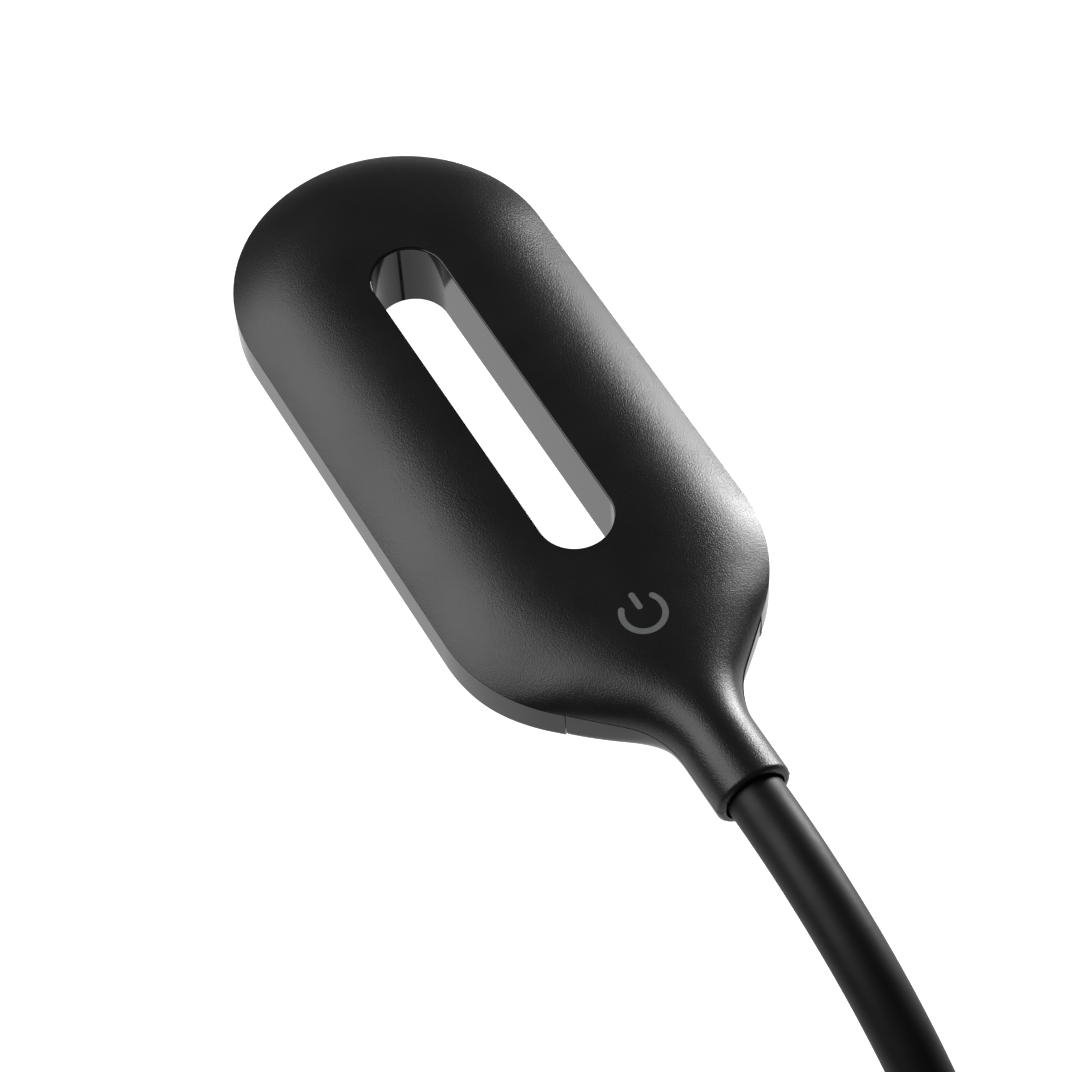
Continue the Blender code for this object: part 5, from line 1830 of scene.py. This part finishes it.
@dataclass
class ClipHardware:
    """Pin, circlip, screws, charging socket and light pipe."""

    form: ClipForm
    shop: Workshop

    def build(self) -> None:
        """Build the clip's small hardware."""
        self.pin()
        self.circlip()
        for i in range(1, 5):
            self.screw(f"clip_screw_{i}")
        self.socket()
        self.light_pipe()

    def pin(self) -> None:
        """The hinge pin, with a domed head at one end and a groove for the circlip at the other."""
        form = self.form
        reach = form.ear_inner + form.ear_thickness
        r, seat, end = form.pin_radius, reach + form.gap, -reach - 1.6 * MM
        profile = [(0.0, end), (r - 0.25 * MM, end), (r, end + 0.25 * MM), (r, end + 0.55 * MM),
                   (r - 0.2 * MM, end + 0.56 * MM), (r - 0.2 * MM, end + 1.24 * MM), (r, end + 1.25 * MM),
                   (r, seat), (2.45 * MM, seat), (2.6 * MM, seat + 0.15 * MM)]
        profile += dome_points(2.6 * MM, seat + 0.4 * MM, 0.6 * MM)
        bm = bmesh.new()
        lathe_into(bm, profile, 40, form.cross())
        self.shop.mount("hinge_rivet", bm, Look.STEEL, ("clip", "steel"), "hinge_pin", sharp=35)

    def circlip(self) -> None:
        """The open spring ring in the pin's groove."""
        low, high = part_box("pin_clip")
        middle, half = (low.y + high.y) / 2, (high.y - low.y) / 2 - 0.02 * MM
        inner, outer, edge = self.form.pin_radius + 0.1 * MM, 2.58 * MM, 0.12 * MM
        section = [(inner + edge, -half), (outer - edge, -half), (outer, -half + edge), (outer, half - edge),
                   (outer - edge, half), (inner + edge, half), (inner, half - edge), (inner, -half + edge)]
        rows = 60
        place = self.form.cross(middle)

        def around(i: int, j: int) -> Vector:
            """Place a point of the ring.

            Args:
                i: Step round it.
                j: Corner of its section.

            Returns:
                The point.
            """
            radius, level = section[j % 8]
            turn = math.radians(-60 + 300 * i / rows)
            return place @ Vector((radius * math.cos(turn), radius * math.sin(turn), level))

        bm = bmesh.new()
        mapped_grid(bm, rows, 8, around)
        weld(bm, NEAR)
        cap_open(bm)
        self.shop.mount("circlip", bm, Look.STEEL, ("clip", "steel"), "pin_clip", sharp=35)

    def screw(self, node: str) -> None:
        """A cover screw with a six-sided socket in its head.

        Args:
            node: The screw it stands for.
        """
        low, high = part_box(node)
        x, y = (low.x + high.x) / 2, (low.y + high.y) / 2
        head, shank, thick = (high.x - low.x) / 2, 1.0 * MM, 1.0 * MM
        place = Matrix.Translation((x, y, low.z))
        bm = bmesh.new()
        outer = [(head - 0.2 * MM, 0.0), (head, 0.2 * MM), (head, thick), (shank, thick)]
        level, step = thick, 0.45 * MM
        while level + step < high.z - low.z - 0.6 * MM:
            outer += [(shank, level + step * 0.3), (shank - 0.18 * MM, level + step * 0.65)]
            level += step
            outer.append((shank, level))
        outer += [(0.3 * MM, high.z - low.z)]
        strip_into(bm, circle_loops(outer, 24, place))
        drive = [(0.95 * MM, 0.0), (0.9 * MM, 0.05 * MM), (0.9 * MM, 0.6 * MM)]
        strip_into(bm, circle_loops(drive, 6, place))
        fill_level(bm, 2, low.z)
        cap_open(bm)
        self.shop.mount(node.replace("clip", "cover"), bm, Look.STEEL, ("clip", "steel"), node, sharp=30)

    def socket(self) -> None:
        """The charging socket's shell and its tongue with two rows of contacts."""
        low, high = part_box("usb_socket")
        length, radius = high.x - low.x, (high.z - low.z) / 2
        straight = (high.y - low.y) - 2 * radius
        wall, lip = 0.3 * MM, 0.1 * MM
        place = Matrix.Translation((high.x, 0.0, (low.z + high.z) / 2))
        steps = [(radius - lip, 0.0), (radius, -lip), (radius, -length), (radius - wall, -length),
                 (radius - wall, -lip), (radius - lip * 1.5, 0.0)]
        bm = bmesh.new()
        strip_into(bm, pill_loops(steps + steps[:1], straight, place))
        weld(bm, NEAR)
        box_into(bm, (low.x + 0.02 * MM, -4.2 * MM, place.translation.z - 1.2 * MM),
                 (low.x + 1.2 * MM, 4.2 * MM, place.translation.z + 1.2 * MM), 0.3 * MM)
        self.shop.mount("socket_shell", bm, Look.STEEL, ("clip", "steel"), "usb_socket", sharp=35)
        bm = bmesh.new()
        z = place.translation.z
        box_into(bm, (low.x + MM, -3.2 * MM, z - 0.35 * MM), (high.x - MM, 3.2 * MM, z + 0.35 * MM),
                 0.15 * MM)
        self.shop.mount("socket_tongue", bm, Look.GLOSS, ("clip", "gloss_black"), sharp=35)
        bm = bmesh.new()
        for i in range(8):
            y = (-2.45 + 0.7 * i) * MM
            for side in (1, -1):
                near, far = sorted((z + side * 0.30 * MM, z + side * 0.39 * MM))
                box_into(bm, (low.x + 2.4 * MM, y - 0.13 * MM, near), (high.x - 1.5 * MM, y + 0.13 * MM, far),
                         0.02 * MM, 1)
        self.shop.mount("socket_contacts", bm, Look.GOLD, ("clip", "brass"), sharp=35)

    def light_pipe(self) -> None:
        """The charging light's clear pipe, with a domed tip."""
        low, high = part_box("charge_light_pipe")
        radius, length = (high.z - low.z) / 2, high.x - low.x
        place = Matrix.Translation((low.x, (low.y + high.y) / 2, (low.z + high.z) / 2))
        profile = [(0.0, 0.0), (radius - 0.1 * MM, 0.0), (radius, 0.1 * MM)]
        profile += dome_points(radius, length - 0.3 * MM, 0.3 * MM)
        bm = bmesh.new()
        lathe_into(bm, profile, 32, place @ Matrix.Rotation(math.pi / 2, 4, "Y"))
        self.shop.mount("light_pipe", bm, Look.CLEAR, ("clip", "clear"), "charge_light_pipe", sharp=35)


# ---- studio --------------------------------------------------------------------------------------
@dataclass
class Studio:
    """Pale floor, soft lights and the camera."""

    target: Vector
    floor_level: float = -0.045
    floor_reach: float = 1.0
    floor_glow: float = 0.5
    room_glow: float = 0.08
    white: float = 1.1
    panel_distance: float = 1.2
    focal: float = 124.5
    eye: Vector = field(default_factory=lambda: Vector((0.31656, -0.16527, 0.53691)))
    right: Vector = field(default_factory=lambda: Vector((0.49382923, 0.86878287, -0.03672889)))
    down: Vector = field(default_factory=lambda: Vector((0.71355089, -0.42900951, -0.55389166)))

    def build(self) -> None:
        """Set up everything that isn't the lamp."""
        self.camera()
        self.floor()
        self.surroundings()
        self.panel("left_panel", Vector((-0.45, -0.64, 0.62)), (1.4, 1.0), 14.0)
        self.panel("right_panel", Vector((-0.35, 0.93, 0.06)), (0.30, 0.62), 14.5)
        bpy.context.scene.view_settings.view_transform = "Standard"

    def camera(self) -> None:
        """A long lens looking down on the head from its near left."""
        data = bpy.data.cameras.new("camera")
        data.lens = self.focal
        data.sensor_width = 36.0
        data.clip_start, data.clip_end = 0.01, 20.0
        data.dof.use_dof = False
        seen = bpy.data.objects.new("camera", data)
        bpy.context.scene.collection.objects.link(seen)
        up = -self.down
        back = self.right.cross(up)
        turn = Matrix((self.right, up, back)).transposed().to_4x4()
        seen.matrix_world = Matrix.Translation(self.target + self.eye) @ turn
        bpy.context.scene.camera = seen

    def floor(self) -> None:
        """A wide white floor."""
        bm = bmesh.new()
        bmesh.ops.create_circle(bm, cap_ends=True, segments=96, radius=self.floor_reach)
        mesh = bpy.data.meshes.new("floor")
        bm.to_mesh(mesh)
        bm.free()
        made = bpy.data.objects.new("floor", mesh)
        bpy.context.scene.collection.objects.link(made)
        made.location = (self.target.x, 0.0, self.floor_level)
        tree = Tree("white_floor")
        seen = tree.add("LightPath").outputs["Is Camera Ray"]
        glow = tree.add("MapRange", Value=seen, To_Min=self.floor_glow, To_Max=self.white)
        mesh.materials.append(
            tree.finish(Base_Color=(0.4, 0.4, 0.4, 1.0), Roughness=0.9, Specular_IOR_Level=0.0,
                        Emission_Color=(1.0, 1.0, 1.0, 1.0), Emission_Strength=glow.outputs["Result"])
        )

    def surroundings(self) -> None:
        """A room that is white where it is seen and dim where it only reflects."""
        world = bpy.data.worlds.new("room")
        bpy.context.scene.world = world
        world.use_nodes = True
        nodes, links = world.node_tree.nodes, world.node_tree.links
        seen = nodes.new("ShaderNodeLightPath").outputs["Is Camera Ray"]
        glow = nodes.new("ShaderNodeMapRange")
        glow.inputs["To Min"].default_value, glow.inputs["To Max"].default_value = self.room_glow, self.white
        links.new(seen, glow.inputs["Value"])
        background = nodes["Background"]
        background.inputs["Color"].default_value = (1.0, 1.0, 1.0, 1.0)
        links.new(glow.outputs["Result"], background.inputs["Strength"])

    def panel(self, name: str, direction: Vector, size: tuple[float, float], power: float) -> None:
        """A soft rectangular light aimed at the head.

        Args:
            name: The light's name.
            direction: From the head towards the light.
            size: Its width and height.
            power: Watts.
        """
        data = bpy.data.lights.new(name, "AREA")
        data.shape = "RECTANGLE"
        data.size, data.size_y = size
        data.energy = power
        lit = bpy.data.objects.new(name, data)
        bpy.context.scene.collection.objects.link(lit)
        ahead = -direction.normalized()
        place = self.target - ahead * self.panel_distance
        lit.matrix_world = Matrix.Translation(place) @ ahead.to_track_quat("-Z", "Z").to_matrix().to_4x4()


# ---- the lamp ------------------------------------------------------------------------------------
class ReadingLamp:
    """The whole lamp."""

    def __init__(self, frame: dict) -> None:
        """Take the frame's joints and work out where the head sits.
        """
        self.frame = frame
        self.shop = Workshop()
        joints = [j for j in frame["joints"] if j["name"].startswith("gooseneck")]
        low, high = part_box("head_top")
        form = HeadForm(Vector((0, 0, 0)))
        form.origin = Vector((high.x - form.collar_end, 0.0, low.z))
        self.form = form
        tip = form.origin + Vector((form.collar_end, 0.0, 0.0))
        base_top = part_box("clip_top_cover")[1].z
        base = Vector((joints[0]["pos_m"][0], 0.0, base_top))
        self.assemblies = [LampHead(form, self.shop), Gooseneck(joints, base, tip, self.shop)]
        clip = ClipForm()
        self.assemblies += [kind(clip, self.shop) for kind in (ClipCovers, ClipPads, MovingJaw, ClipHardware)]

    def dress_nodes(self) -> None:
        """Give every carried-over node its finish."""
        looks = {
            "matt_black": Look.MATT, "gloss_black": Look.GLOSS, "silicone": Look.SILICONE,
            "pad_rubber": Look.RUBBER, "opal": Look.OPAL, "steel": Look.STEEL, "brass": Look.BRASS,
            "board_white": Look.BOARD_WHITE, "board_green": Look.BOARD_GREEN, "cell_wrap": Look.FOIL,
            "wire_red": Look.WIRE, "clear": Look.CLEAR,
        }
        slots = {part["node"]: part["material_slot"] for part in self.frame["record"]["subparts"]}
        for name, node in self.frame["nodes"].items():
            node.data.materials.clear()
            node.data.materials.append(self.shop.material(looks[slots[name]]))


def main() -> None:
    """Load the frame, build the lamp and light it."""
    logging.basicConfig(level=logging.INFO, format="%(message)s")
    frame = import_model()
    lamp = ReadingLamp(frame)
    for assembly in lamp.assemblies:
        assembly.build()
    lamp.dress_nodes()
    for made in lamp.shop.pieces:
        LOG.info("%s: %d faces", made.name, len(made.data.polygons))
    Studio(lamp.form.origin).build()


if __name__ == "__main__":
    main()
